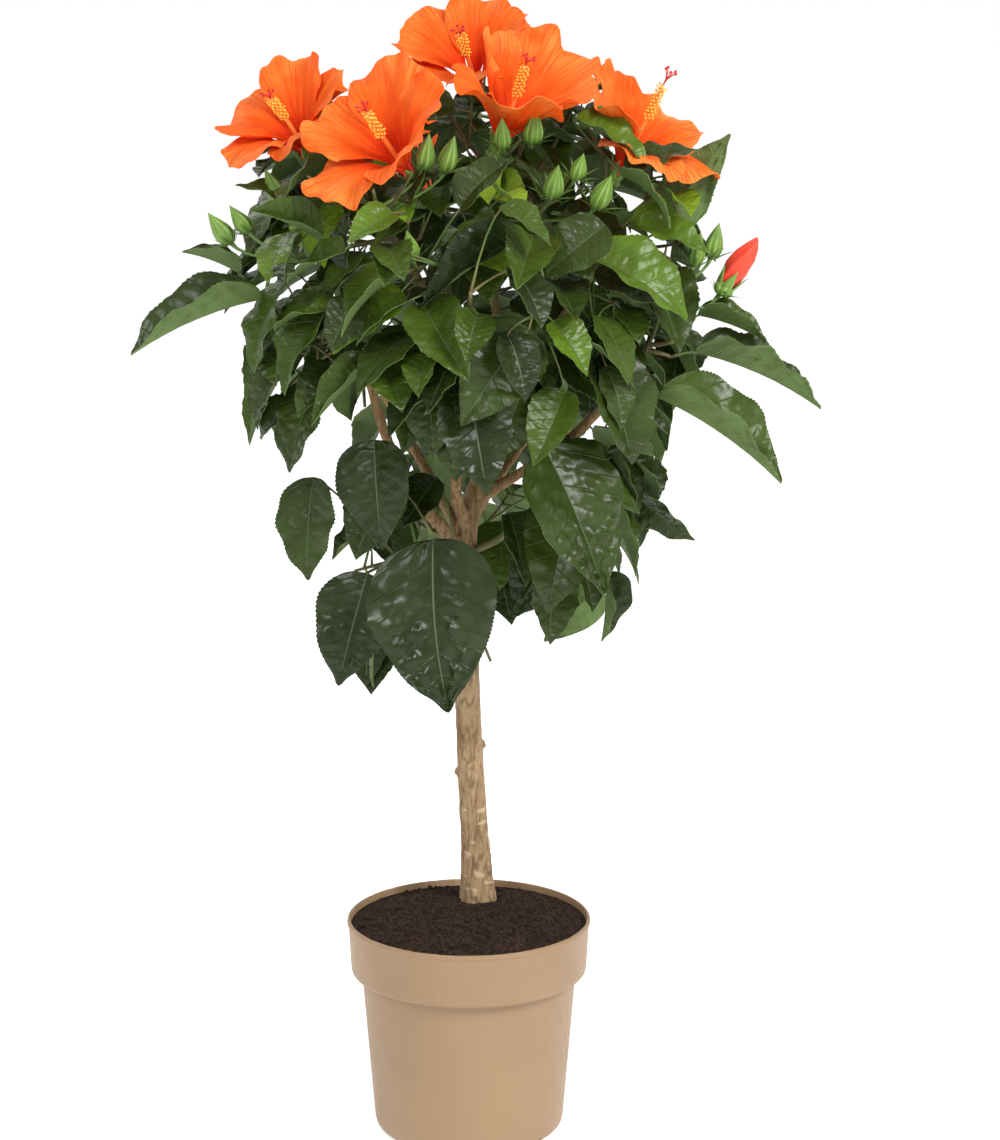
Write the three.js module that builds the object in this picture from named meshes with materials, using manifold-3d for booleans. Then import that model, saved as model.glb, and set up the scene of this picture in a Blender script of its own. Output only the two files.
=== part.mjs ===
// A Chinese hibiscus grown as a small standard tree, in its plastic nursery pot.
// Millimetres, +Z up. The origin is the middle of the pot's underside, and -Y is the side that is looked at.
// A bare trunk rises from the compost to a round crown. Each bough ends in one mass of foliage: a stem,
// the shoots that branch from it, and the leaves, buds and blooms that grow on the shoots by one seeded rule.
import * as THREE from "three";
import { mergeVertices } from "three/addons/utils/BufferGeometryUtils.js";
import Module from "manifold-3d";

const wasm = await Module();
wasm.setup();

// ---------------------------------------------------------------- driving sizes
const potRadius = 95; // outside, at the rim
const potHeight = 170;
const potFootRadius = 73.5;
const potWall = 2.2;
const bandHeight = 45; // the thicker collar below the rim
const bandFootRadius = 92.2;
const bodyTopRadius = 83.8;
const standRadius = 52; // flat middle of the underside
const channelHeight = 4; // of the drain channel between that and the foot ring
const drainCount = 8;
const drainWidth = 9;
const drainHeight = 3.4;
const drainReach = 15;
const roundSides = 32; // flat faces round the pot

const compostEdge = 165; // height of the compost at the wall
const compostTop = 175; // height of its flat middle
const compostFlat = 50; // radius of that middle

const clear = 0.3; // gap between solids that touch
const crownHeart = [0, 0, 600]; // the point that leaves turn away from
const leafThickness = 0.012; // over blade length
const thinnestLeaf = 1.3;
const petioleRadius = 0.95;
const shootRadius = 2.1;
const stemRadius = 3.0;
const goldenTurn = 137.5; // degrees from one shoot round its hub, or one leaf round the crown, to the next
const shootWidest = 100; // degrees that the last shoot stands off the way the mass faces
const wallMargin = 14; // a shoot stops this far short of the limit of its space
const crownMargin = 26; // and this far inside the crown's outline
const shootLeast = 22;
const shootMost = 96;
const longestPetiole = 66;
const longestShift = 26; // how far a leaf moves back from its neighbours' space
const wallSlack = 7; // a leaf that reaches further over a wall, or further out of the crown, isn't grown
const crownSlack = 8;
const sharpest = -0.7; // cosine of the sharpest turn from stalk to blade
const leafSites = 196; // places where the rule tries to grow a leaf
const innerEvery = 4; // one in so many is inside the crown
const innerDepth = 0.62;
const bladeLow = 98; // blade length low in the crown, and at its top
const bladeHigh = 66;
// The crown's outline, radius and height from its foot to its top. Only the placed leaves pass it.
const crownProfile = [[92, 350], [126, 430], [148, 500], [166, 560], [178, 640], [190, 700], [182, 750],
  [150, 788], [92, 808], [0, 816]];
const crownWidest = 700;
const lowestSite = 412;
const leafSeed = 7;
const budRadius = 7;
const budLength = 25;
const petalThickness = 1.3;
const petalCount = 5;
const petalFoot = 17; // the petals leave the green cup this far from the bloom's foot
const petalLean = 24; // degrees away from the way the bloom faces, at the petal's foot
const petalRing = 4; // radius of the ring that they stand on

// ---------------------------------------------------------------- the limbs, foot to tip
// Each limb is a smooth line through its points, and tapers evenly between the radii given along it.
const limbs = {
  trunk: {
    line: [[7.5, 32.5, compostTop - 12], [4.5, 30, 225], [1, 25, 290], [-1, 21, 345], [-1, 17, 420],
      [0, 13, 480], [11, 10, 522], [25, 5, 568], [40, 0, 612], [56, -5, 652], [64, -6, 684]],
    radii: [13.4, 11, 10.6, 9.9, 9.2, 8.4, 7.4, 6, 5, 4.3, 3.6],
    sides: 10,
    steps: 15,
  },
  bough_left: {
    line: [[-1, 15, 452], [-20, -2, 482], [-44, -18, 514], [-62, -28, 560], [-74, -36, 606]],
    radii: [5.4, 5, 4.5, 4, 3.5],
  },
  bough_upper_left: {
    line: [[0, 13, 478], [-9, -12, 510], [-7, -38, 556], [-10, -52, 606], [-24, -58, 656], [-38, -60, 686]],
    radii: [4.6, 4.2, 3.7, 3.3, 3.1, 2.9],
  },
  bough_front: {
    line: [[9, 10, 516], [24, -16, 545], [27, -44, 580], [18, -62, 608]],
    radii: [4, 3.7, 3.4, 3.1],
  },
  bough_right: {
    line: [[5, 12, 500], [44, 0, 526], [84, -18, 560], [118, -34, 598]],
    radii: [4.6, 4.1, 3.7, 3.3],
  },
  bough_upper_right: {
    line: [[36, 2, 596], [66, 12, 632], [88, 15, 664], [100, 12, 690]],
    radii: [4, 3.7, 3.4, 3.1],
  },
  bough_back_left: {
    line: [[-1, 15, 464], [-24, 38, 502], [-50, 60, 545], [-72, 72, 584]],
    radii: [4.8, 4.3, 3.8, 3.3],
  },
  bough_back_right: {
    line: [[3, 13, 488], [28, 36, 520], [54, 58, 555], [75, 74, 590]],
    radii: [4.6, 4.2, 3.7, 3.3],
  },
  bough_back_top: {
    line: [[22, 6, 556], [26, 28, 600], [20, 48, 650], [12, 60, 694]],
    radii: [4.2, 3.8, 3.4, 3],
  },
};
const boughSides = 6;
const boughSteps = 6;

// Small cut stubs that stand out of the trunk: height, bearing and how far they reach from its middle.
const stubs = [[299, 0, 13.5], [276, 176, 13.5], [186, -30, 14.5]];
const stubRadius = 3;

// ---------------------------------------------------------------- the masses of foliage
// How a blade is held: its fold up from the midrib and its bend down along the midrib, in degrees.
const forms = {
  open: { fold: 10, bend: 26 },
  cupped: { fold: 28, bend: 34 },
  folded: { fold: 52, bend: 22 },
};

// A mass starts on its limb, or on the tip of it, and its stem runs to the hub, where its shoots part.
//   heart   middle of the space that the mass keeps to: every point of it is nearer this than another heart
//   shoots  how many twigs part at the hub
//   show    the leaves that give the outline, placed one by one: form, bearing round the plant, height and
//           reach of the blade's foot, turn away from that bearing, hang below level, length, width, roll
//   buds    tip x, y, z and size          blooms  foot, way it faces, petal length, flare and turn
const masses = [
  {
    name: "foliage_skirt_left", limb: "trunk", start: [-1, 16, 440],
    hub: [-34, -42, 476], heart: [-50, -88, 468], seed: 11, shoots: 5,
    show: [["open", -104, 494, 102, 44, 80, 130, 98, 0], ["open", -134, 463, 106, -16, 73, 88, 62, -30],
      ["open", -140, 442, 78, -10, 80, 74, 46, 25], ["folded", -141, 494, 95, -22, 40, 36, 24, 0],
      ["open", -127, 566, 112, 59, 79, 82, 64, 0], ["open", -155, 531, 126, 49, 79, 78, 54, -20],
      ["open", -129, 447, 82, -20, 73, 84, 52, -30]],
    buds: [], blooms: [],
  },
  {
    name: "foliage_skirt_right", limb: "trunk", start: [0, 15, 458],
    hub: [48, -36, 502], heart: [92, -78, 490], seed: 23, shoots: 5,
    show: [["open", -63, 564, 126, 40, 66, 116, 90, 0], ["open", -42, 489, 93, -116, 59, 70, 52, 0],
      ["open", -8, 437, 102, -159, 42, 60, 38, 150], ["folded", -30, 461, 120, -91, 82, 54, 40, 0],
      ["open", -14, 516, 126, 7, 37, 62, 36, 128], ["open", -46, 540, 84, -60, 64, 68, 46, 0]],
    buds: [], blooms: [],
  },
  {
    name: "foliage_left", limb: "bough_left",
    hub: [-104, -52, 636], heart: [-150, -55, 605], seed: 37, shoots: 6,
    show: [["folded", -158, 666, 161, -11, 22, 106, 60, 0], ["folded", -173, 679, 170, 1, -21, 46, 30, 0],
      ["cupped", -135, 671, 135, -25, 61, 80, 58, 0], ["open", -147, 607, 130, 2, 69, 72, 62, 0],
      ["folded", -121, 628, 128, -44, 44, 66, 40, 0]],
    buds: [], blooms: [],
  },
  {
    name: "foliage_front", limb: "bough_front",
    hub: [2, -86, 646], heart: [-5, -118, 640], seed: 41, shoots: 7,
    show: [["open", -70, 661, 133, -85, 54, 68, 50, 0], ["open", -71, 613, 129, -79, 62, 62, 48, 0],
      ["open", -103, 613, 125, 36, 78, 54, 40, 0], ["open", -93, 598, 112, -6, 81, 58, 42, 0],
      ["folded", -71, 719, 125, -98, 34, 90, 56, 0], ["open", -111, 680, 127, -55, 41, 68, 46, 0],
      ["open", -51, 728, 158, -117, 39, 60, 44, 0], ["cupped", -92, 739, 118, 89, -43, 52, 34, 0]],
    buds: [[-42, -126, 724, 0.9]], blooms: [],
  },
  {
    name: "foliage_right", limb: "bough_right",
    hub: [132, -44, 628], heart: [145, -70, 610], seed: 53, shoots: 6,
    show: [["cupped", -50, 703, 137, 45, 33, 86, 64, 0], ["folded", -11, 650, 174, 4, 21, 56, 36, 0],
      ["folded", -13, 623, 173, 8, 24, 104, 56, 0], ["folded", -27, 595, 157, 17, 34, 112, 72, 0],
      ["cupped", -41, 595, 130, 32, 26, 56, 42, 0]],
    buds: [[172, -38, 711, 1], [186, -32, 717, 1.05], [214, -32, 706, 2]], blooms: [],
  },
  {
    name: "foliage_top_left", limb: "bough_upper_left",
    hub: [-62, -64, 722], heart: [-95, -60, 755], seed: 67, shoots: 6,
    show: [["folded", -133, 715, 152, -40, -24, 54, 40, 0], ["open", -149, 734, 122, -25, -14, 66, 36, 0],
      ["cupped", -126, 696, 146, 82, -83, 44, 24, 0]],
    buds: [[-188, -60, 728, 1.1], [-172, -64, 734, 0.95], [-146, -64, 760, 1.2], [-26, -104, 790, 1.05],
      [-8, -100, 788, 1.1]],
    blooms: [{ foot: [-34, -84, 752], faces: [-0.51, -0.5, 0.7], petal: 77, flare: 76, turn: 41 },
      { foot: [-112, -20, 756], faces: [-0.42, -0.3, 0.86], petal: 64, flare: 84, turn: 50 }],
  },
  {
    name: "foliage_top", limb: "trunk",
    hub: [32, -12, 744], heart: [22, 2, 792], seed: 71, shoots: 7,
    show: [],
    buds: [[26, -88, 800, 1], [50, -84, 806, 1.1], [66, -108, 768, 1.15], [84, -104, 776, 0.9],
      [104, -100, 760, 1.2]],
    blooms: [{ foot: [18, -48, 764], faces: [0.35, -0.25, 0.9], petal: 82, flare: 58, turn: 12 },
      { foot: [10, 25, 800], faces: [-0.22, -0.5, 0.84], petal: 66, flare: 78, turn: 22 }],
  },
  {
    name: "foliage_top_right", limb: "bough_upper_right",
    hub: [112, 6, 712], heart: [145, 8, 742], seed: 83, shoots: 6,
    show: [["open", -12, 708, 142, 8, -54, 94, 40, 170], ["cupped", -38, 796, 98, 24, 30, 66, 42, 0],
      ["open", -21, 758, 124, 26, -14, 58, 38, 0],
      ["cupped", 17, 804, 88, -10, -12, 44, 34, 0]],
    buds: [], blooms: [{ foot: [105, -10, 742], faces: [0.48, -0.23, 0.85], petal: 73, flare: 84, turn: 6 }],
  },
  {
    name: "foliage_back_left", limb: "bough_back_left",
    hub: [-92, 88, 604], heart: [-115, 105, 600], seed: 97, shoots: 6, show: [], buds: [], blooms: [],
  },
  {
    name: "foliage_back_right", limb: "bough_back_right",
    hub: [92, 92, 612], heart: [105, 115, 610], seed: 101, shoots: 6, show: [], buds: [], blooms: [],
  },
  {
    name: "foliage_back_low", limb: "trunk", start: [0, 16, 428],
    hub: [4, 58, 476], heart: [5, 85, 465], seed: 113, shoots: 5, show: [], buds: [], blooms: [],
  },
  {
    name: "foliage_back_top", limb: "bough_back_top",
    hub: [6, 84, 722], heart: [0, 120, 745], seed: 127, shoots: 6,
    show: [], buds: [[52, 124, 812, 1.1], [64, 138, 806, 0.95]],
    blooms: [{ foot: [-42, 118, 722], faces: [-0.3, 0.78, 0.55], petal: 70, flare: 78, turn: 30 }],
  },
];

// ---------------------------------------------------------------- small helpers
const rad = THREE.MathUtils.degToRad;
const V = (x, y, z) => new THREE.Vector3(x, y, z);
const vec = (xyz) => V(...xyz);
const mix = (a, b, t) => a + (b - a) * t;
const along = (from, direction, distance) => from.clone().addScaledVector(direction, distance);
const up = V(0, 0, 1);

// One repeatable stream of numbers from 0 to 1 for each mass.
function makeRandom(seed) {
  let state = seed;
  return () => {
    state = (Math.imul(state, 1664525) + 1013904223) >>> 0;
    return state / 4294967296;
  };
}

// ---------------------------------------------------------------- solids
function solidOf(geometry) {
  const bare = geometry.clone();
  bare.deleteAttribute("normal");
  bare.deleteAttribute("uv");
  const merged = mergeVertices(bare, 1e-4);
  return new wasm.Manifold(new wasm.Mesh({
    numProp: 3,
    vertProperties: merged.attributes.position.array,
    triVerts: new Uint32Array(merged.index.array),
  }));
}

function geometryOf(solid) {
  const { vertProperties, triVerts } = solid.getMesh();
  const geometry = new THREE.BufferGeometry();
  geometry.setAttribute("position", new THREE.BufferAttribute(vertProperties, 3));
  geometry.setIndex(new THREE.BufferAttribute(triVerts, 1));
  return geometry;
}

// Fusing can leave loose scraps and closed pockets, which are shells of their own: the largest shell is kept.
function largestBody(solid) {
  const largest = (s) => s.decompose().reduce((best, body) => (body.volume() > best.volume() ? body : best));
  return largest(solidOf(geometryOf(largest(solid))));
}

// Moves every vertex of a unit geometry to where the function puts it.
function shaped(geometry, place) {
  const position = geometry.attributes.position;
  for (let i = 0; i < position.count; i += 1) {
    const p = place(position.getX(i), position.getY(i), position.getZ(i));
    position.setXYZ(i, p.x, p.y, p.z);
  }
  return geometry;
}

// Turns the diagonal of chosen cells of a ball. The two sides of a thin wall have to be cut along the same
// diagonals, or they pass through each other where the wall is curved.
function turnDiagonals(ball, sides, chosen) {
  const { array } = ball.index;
  const first = 3 * sides; // the first row has one triangle to a cell and the others two
  for (let i = first; i + 3 * sides < array.length; i += 6) {
    const cell = (i - first) / 6;
    const [a, b, d, , c] = array.slice(i, i + 6);
    if (chosen(1 + Math.floor(cell / sides), cell % sides)) array.set([a, b, c, a, c, d], i);
  }
  return ball;
}

// A closed round rod through a row of points, with a radius at each.
function rod(points, radii, sides) {
  const last = points.length - 1;
  const frames = [];
  let side = V(1, 0.13, 0);
  points.forEach((point, i) => {
    const ahead = points[Math.min(i + 1, last)].clone().sub(points[Math.max(i - 1, 0)]).normalize();
    side = along(side, ahead, -side.dot(ahead)).normalize();
    frames.push({ point, side, across: side.clone().cross(ahead), radius: radii[i] });
  });
  return shaped(new THREE.CylinderGeometry(1, 1, 1, sides, last), (x, y, z) => {
    const f = frames[Math.round((y + 0.5) * last)];
    return along(along(f.point, f.side, x * f.radius), f.across, z * f.radius);
  });
}

const twig = (points, radius, sides = 3) => rod(points, points.map(() => radius), sides);

// ---------------------------------------------------------------- limbs
function limbRun(limb) {
  const steps = limb.steps ?? boughSteps;
  const curve = new THREE.CatmullRomCurve3(limb.line.map(vec), false, "catmullrom", 0.5);
  const points = [];
  const radii = [];
  for (let i = 0; i <= steps; i += 1) {
    const at = (i / steps) * (limb.radii.length - 1);
    const k = Math.min(Math.floor(at), limb.radii.length - 2);
    points.push(curve.getPoint(i / steps));
    radii.push(mix(limb.radii[k], limb.radii[k + 1], at - k));
  }
  return { points, radii, sides: limb.sides ?? boughSides };
}

const runs = Object.fromEntries(Object.entries(limbs).map(([name, limb]) => [name, limbRun(limb)]));

// A limb's solid, made fatter by the gap that its neighbours keep.
function limbSolid(name, gap = 0) {
  const { points, radii, sides } = runs[name];
  return solidOf(rod(points, radii.map((r) => r + gap), sides));
}

// The trunk is cut level where it meets the compost.
function trunkSolid() {
  const { points } = runs.trunk;
  const stubSolids = stubs.map(([height, bearing, reach]) => {
    const near = points.reduce((a, b) => (Math.abs(b.z - height) < Math.abs(a.z - height) ? b : a));
    const out = V(Math.cos(rad(bearing)), Math.sin(rad(bearing)), 0.35).normalize();
    const foot = V(near.x, near.y, height);
    return solidOf(rod([foot, along(foot, out, reach)], [stubRadius * 1.3, stubRadius], 6));
  });
  return wasm.Manifold.union([limbSolid("trunk"), ...stubSolids]).trimByPlane([0, 0, 1], compostTop + clear);
}

// ---------------------------------------------------------------- the pot and its compost
// The inside of the wall's section, from the axis up to the collar, as far inside the pot as the gap asks.
function potInside(gap) {
  const raised = channelHeight + potWall + gap;
  const inside = new THREE.Path();
  inside.moveTo(0, potWall + gap);
  inside.lineTo(standRadius - 2 - gap, potWall + gap);
  inside.lineTo(standRadius - gap, raised);
  inside.lineTo(potFootRadius - 9 - gap, raised);
  inside.quadraticCurveTo(potFootRadius - potWall - gap, raised,
    potFootRadius - potWall + 0.6 - gap, raised + 7);
  inside.lineTo(bodyTopRadius - potWall - gap, potHeight - bandHeight - 3);
  inside.lineTo(bandFootRadius - potWall - gap, potHeight - bandHeight + 10);
  return inside;
}

function potGeometry() {
  const outside = new THREE.Path();
  outside.moveTo(0, 0);
  outside.lineTo(standRadius, 0);
  outside.lineTo(standRadius + 2, channelHeight);
  outside.lineTo(potFootRadius - 12, channelHeight);
  outside.lineTo(potFootRadius - 11, 0);
  outside.lineTo(potFootRadius - 7, 0);
  outside.quadraticCurveTo(potFootRadius, 0, potFootRadius + 0.8, 9);
  outside.lineTo(bodyTopRadius, potHeight - bandHeight);
  outside.quadraticCurveTo(bandFootRadius - 1, potHeight - bandHeight + 0.5,
    bandFootRadius, potHeight - bandHeight + 9);
  outside.lineTo(potRadius, potHeight - 1.2);
  outside.lineTo(potRadius - 0.7, potHeight);
  outside.lineTo(potRadius - potWall + 0.3, potHeight);
  const inner = potInside(0).getPoints(3).reverse();
  const lip = new THREE.Vector2(potRadius - potWall - 0.3, potHeight - 1);
  const profile = [...outside.getPoints(4), lip, ...inner];
  return new THREE.LatheGeometry(profile, roundSides).rotateX(Math.PI / 2);
}

// Notches through the foot ring let water out of the channel under the floor.
function potSolid() {
  const notches = Array.from({ length: drainCount }, (_, i) => {
    const notch = new THREE.BoxGeometry(2 * drainReach, drainWidth, 2 * drainHeight);
    notch.translate(potFootRadius, 0, 0).rotateZ(rad(-41 - 90 + (i * 360) / drainCount));
    return solidOf(notch);
  });
  return solidOf(potGeometry()).subtract(wasm.Manifold.union(notches));
}

function compostSolid() {
  const wall = potInside(clear).getPoints(1);
  const upBand = (compostEdge - potHeight + bandHeight) / bandHeight;
  const edge = mix(bandFootRadius, potRadius, upBand) - potWall - 3 * clear;
  const mound = [[edge, compostEdge], [compostFlat + 20, compostTop - 3], [compostFlat, compostTop],
    [0, compostTop]];
  const profile = [...wall, ...mound.map(([r, z]) => new THREE.Vector2(r, z))];
  return solidOf(new THREE.LatheGeometry(profile, roundSides).rotateX(Math.PI / 2));
}

// ---------------------------------------------------------------- the space of each mass
// The space is bounded by the planes half way to the other hearts, less a gap.
masses.forEach((mass) => {
  const heart = vec(mass.heart);
  mass.walls = masses.filter((other) => other !== mass).map((other) => {
    const away = vec(other.heart).sub(heart);
    const reach = away.length() / 2 - clear - 0.2;
    away.normalize();
    return { away, limit: heart.dot(away) + reach };
  });
});

function crownRadius(height) {
  const above = Math.max(1, crownProfile.findIndex(([, z]) => z >= height));
  const [[r0, z0], [r1, z1]] = [crownProfile[above - 1], crownProfile[above]];
  return height > crownProfile.at(-1)[1] ? 0 : r0 + ((r1 - r0) * (height - z0)) / (z1 - z0);
}

// The radius and height at a share of the crown's surface, measured from its foot.
function crownSite(share) {
  const bands = crownProfile.slice(1).map(([r1, z1], i) => {
    const [r0, z0] = crownProfile[i];
    return { r0, z0, r1, z1, area: (r0 + r1) * Math.hypot(r1 - r0, z1 - z0) };
  });
  let left = share * bands.reduce((sum, band) => sum + band.area, 0);
  const band = bands.find(({ area }) => (left -= area) <= 0) ?? bands.at(-1);
  const t = 1 + left / band.area;
  return [mix(band.r0, band.r1, t), mix(band.z0, band.z1, t)];
}

// How far a point is past the walls of its space, and past the crown's profile.
const pastWalls = (mass, p) => Math.max(...mass.walls.map(({ away, limit }) => p.dot(away) - limit));
function pastCrown(p) {
  const radius = Math.hypot(p.x, p.y);
  const sideways = radius - crownRadius(p.z);
  if (p.z < crownWidest) return sideways;
  const k = crownProfile.findIndex(([r, z]) => z > crownWidest && r <= radius);
  if (k < 1) return sideways;
  const [[r0, z0], [r1, z1]] = [crownProfile[k - 1], crownProfile[k]];
  return Math.min(sideways, p.z - (z0 + ((z1 - z0) * (radius - r0)) / (r1 - r0)));
}

// Presses a point back into the mass's space.
function held(mass, p) {
  for (let pass = 0; pass < 3; pass += 1) {
    mass.walls.forEach(({ away, limit }) => {
      const over = p.dot(away) - limit;
      if (over > 0) p.addScaledVector(away, -over);
    });
  }
  return p;
}

// ---------------------------------------------------------------- leaves
const outline = (t) => Math.sin(Math.PI * t ** 0.62) ** 0.85 * (1 - 0.28 * t ** 3);

// Sets a blade: its chord runs from the foot along a direction, and its face turns up and outwards.
function makeLeaf(foot, direction, outwards, length, width, roll, { fold, bend }) {
  const chord = direction.clone().normalize();
  const wanted = along(outwards.clone().multiplyScalar(0.6), up, 0.8);
  const face = along(wanted, chord, -wanted.dot(chord)).normalize().applyAxisAngle(chord, rad(roll));
  const side = chord.clone().cross(face);
  return { foot, chord, face, side, length, width, fold: rad(fold), bend: rad(bend) };
}

// A point of the blade: t from foot to tip, s from one edge over the midrib to the other, h above the face.
function leafPoint(leaf, t, s, h = 0) {
  const { foot, chord, face, side, length, width, fold, bend } = leaf;
  const a = bend * (0.5 - t);
  const run = (Math.sin(bend / 2) - Math.sin(a)) / bend;
  const rise = (Math.cos(a) - Math.cos(bend / 2)) / bend;
  const normal = along(face.clone().multiplyScalar(Math.cos(a)), chord, -Math.sin(a));
  const half = (width / 2) * outline(t) * Math.abs(s);
  return along(along(along(along(foot, chord, run * length), face, rise * length),
    side, Math.sign(s) * half * Math.cos(fold)), normal, half * Math.sin(fold) + h);
}

// The blade as a thin net of 6 by 3 points, for the tests that keep leaves apart.
const netStations = [0.02, 0.15, 0.38, 0.62, 0.84, 1];
function netOf(leaf) {
  const rows = netStations.map((t) => [-1, 0, 1].map((s) => leafPoint(leaf, t, s)));
  const lines = [];
  const faces = [];
  rows.slice(1).forEach((row, i) => {
    const before = rows[i];
    for (let k = 0; k < 3; k += 1) lines.push([before[k], row[k]]);
    for (let k = 0; k < 2; k += 1) {
      lines.push([row[k], row[k + 1]]);
      faces.push([before[k], before[k + 1], row[k + 1]], [before[k], row[k + 1], row[k]]);
    }
  });
  return { points: rows.flat(), lines, faces };
}

const ray = new THREE.Ray();
const hit = V(0, 0, 0);
function crosses([a, b], [p, q, r]) {
  ray.origin.copy(a);
  ray.direction.copy(b).sub(a);
  const span = ray.direction.length();
  if (span < 1e-6) return false;
  ray.direction.divideScalar(span);
  return ray.intersectTriangle(p, q, r, false, hit) !== null && hit.distanceTo(a) <= span;
}

// ---------------------------------------------------------------- growing the masses
const quadratic = (a, b, c, t) => (
  along(along(a.clone().multiplyScalar((1 - t) ** 2), b, 2 * t * (1 - t)), c, t * t));
const shootSteps = 3;

// Twigs leave their foot level and turn up towards their tip.
const elbowOf = (foot, tip) => V(mix(foot.x, tip.x, 0.6), mix(foot.y, tip.y, 0.6), mix(foot.z, tip.z, 0.35));
function shootLine(foot, tip) {
  const elbow = elbowOf(foot, tip);
  return Array.from({ length: shootSteps + 1 }, (_, i) => quadratic(foot, elbow, tip, i / shootSteps));
}

// The shoots spread round the way from the crown's heart to the hub. The first goes on from the stem's end
// and the others leave it below that, and each runs on while there is room.
function shootLines(mass, random) {
  const facing = mass.hubPoint.clone().sub(vec(crownHeart)).normalize();
  const side = facing.clone().cross(up).normalize();
  const other = facing.clone().cross(side);
  const stem = new THREE.CatmullRomCurve3(mass.stemLine);
  const lines = [];
  for (let k = 0; k < mass.shoots; k += 1) {
    const off = rad(shootWidest * Math.sqrt(k / mass.shoots));
    const round = rad(goldenTurn * k + 40 * random());
    const sideways = along(side.clone().multiplyScalar(Math.cos(round)), other, Math.sin(round));
    const way = along(sideways.multiplyScalar(Math.sin(off)), facing, Math.cos(off));
    const foot = stem.getPoint(1 - (0.5 * k) / mass.shoots);
    const open = (p) => pastWalls(mass, p) < -wallMargin && pastCrown(p) < -crownMargin;
    let reach = shootLeast;
    while (reach < shootMost && open(along(foot, way, reach + 4))) reach += 4;
    lines.push(shootLine(foot, along(foot, way, reach)));
  }
  return lines;
}

// Rods that leaves keep clear of: limbs and twigs, and the stalks and bodies of buds.
const rods = [];
function addRods(owner, points, radii) {
  points.slice(1).forEach((b, i) => {
    rods.push({ owner, a: points[i], b, radius: Math.max(radii[i], radii[i + 1]) });
  });
}
Object.entries(runs).forEach(([name, { points, radii }]) => addRods(name, points, radii));

masses.forEach((mass) => {
  const tip = runs[mass.limb].points.at(-1);
  const before = runs[mass.limb].points.at(-2);
  const ahead = tip.clone().sub(before).normalize();
  mass.hubPoint = vec(mass.hub);
  if (mass.start) {
    const foot = vec(mass.start);
    const elbow = elbowOf(foot, mass.hubPoint);
    mass.stemLine = [0, 0.35, 0.7, 1].map((t) => quadratic(foot, elbow, mass.hubPoint, t));
  } else {
    const foot = along(tip, ahead, clear);
    const elbow = along(foot, ahead, foot.distanceTo(mass.hubPoint) / 2);
    mass.stemLine = [0, 0.12, 0.55, 1].map((t) => quadratic(foot, elbow, mass.hubPoint, t));
  }
  addRods(mass.name, mass.stemLine, mass.stemLine.map(() => stemRadius));
  mass.shootLines = shootLines(mass, makeRandom(mass.seed));
  mass.shootLines.forEach((line) => addRods(mass.name, line, line.map(() => shootRadius)));
});

// Points of the mass's shoots that a stalk could spring from, the closest first.
const rootSteps = 8;
function rootsNear(mass, p) {
  return mass.shootLines.flatMap((line, shoot) => Array.from({ length: rootSteps }, (_, j) => {
    const at = (0.12 + (0.86 * j) / (rootSteps - 1)) * shootSteps;
    const i = Math.min(Math.floor(at), shootSteps - 1);
    return Object.assign(line[i].clone().lerp(line[i + 1], at - i), { shoot });
  })).sort((x, y) => x.distanceTo(p) - y.distanceTo(p));
}

// The least distance between two straight pieces.
function apart([a, b], [c, d]) {
  const near = V(0, 0, 0);
  const ends = [[a, c, d], [b, c, d], [c, a, b], [d, a, b]].map(([p, q, r]) => (
    new THREE.Line3(q, r).closestPointToPoint(p, true, near).distanceTo(p)));
  const u = b.clone().sub(a);
  const v = d.clone().sub(c);
  const n = u.clone().cross(v);
  const w = c.clone().sub(a);
  const square = n.lengthSq();
  if (square < 1e-9) return Math.min(...ends);
  const s = w.clone().cross(v).dot(n) / square;
  const t = w.clone().cross(u).dot(n) / square;
  const inside = s > 0 && s < 1 && t > 0 && t < 1;
  return inside ? Math.abs(w.dot(n)) / Math.sqrt(square) : Math.min(...ends);
}

// True where a stalk would touch a limb, or the twigs or stalks of another mass.
const stalkBlocked = (mass, stalk) => rods.some(({ owner, a, b, radius }) => (
  owner !== mass.name && apart(stalk, [a, b]) < radius + petioleRadius + 2 * clear));

// The closest root from which a stalk runs free to a foot, without a hairpin where the blade hangs on it.
function freeRoot(mass, foot, way, longest = Infinity) {
  return rootsNear(mass, foot).find((root) => {
    const length = root.distanceTo(foot);
    if (length < 6 || length > longest) return false;
    return foot.clone().sub(root).dot(way) > sharpest * length && !stalkBlocked(mass, [root, foot]);
  });
}

// Buds and blooms stand on stalks that spring from the nearest shoot. Closed buds stand nearly upright, and the
// one that is about to open, the largest, leans out.
const budRise = 1.3, openingBudRise = 0.4, openingBud = 1.5;
const bloomBalls = [];
masses.forEach((mass) => {
  mass.budParts = mass.buds.map(([x, y, z, size]) => {
    const tip = V(x, y, z);
    const rise = size < openingBud ? budRise : openingBudRise;
    const lean = tip.clone().sub(mass.hubPoint).normalize().add(V(0, 0, rise)).normalize();
    const foot = along(tip, lean, -budLength * size);
    const root = freeRoot(mass, foot, lean);
    addRods(mass.name, [root, foot], [petioleRadius, petioleRadius]);
    const fat = budRadius * Math.min(size, 1.25);
    addRods(mass.name, [foot, tip], [fat, fat]);
    return { root, foot, tip, fat };
  });
  mass.bloomParts = mass.blooms.map((bloom) => {
    const foot = vec(bloom.foot);
    const faces = vec(bloom.faces).normalize();
    const root = freeRoot(mass, foot, faces);
    addRods(mass.name, [root, foot], [petioleRadius, petioleRadius]);
    bloomBalls.push({ centre: along(foot, faces, bloom.petal * 0.76), radius: bloom.petal * 0.62 });
    return { ...bloom, foot, faces, root };
  });
});

const leaves = [];

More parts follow.
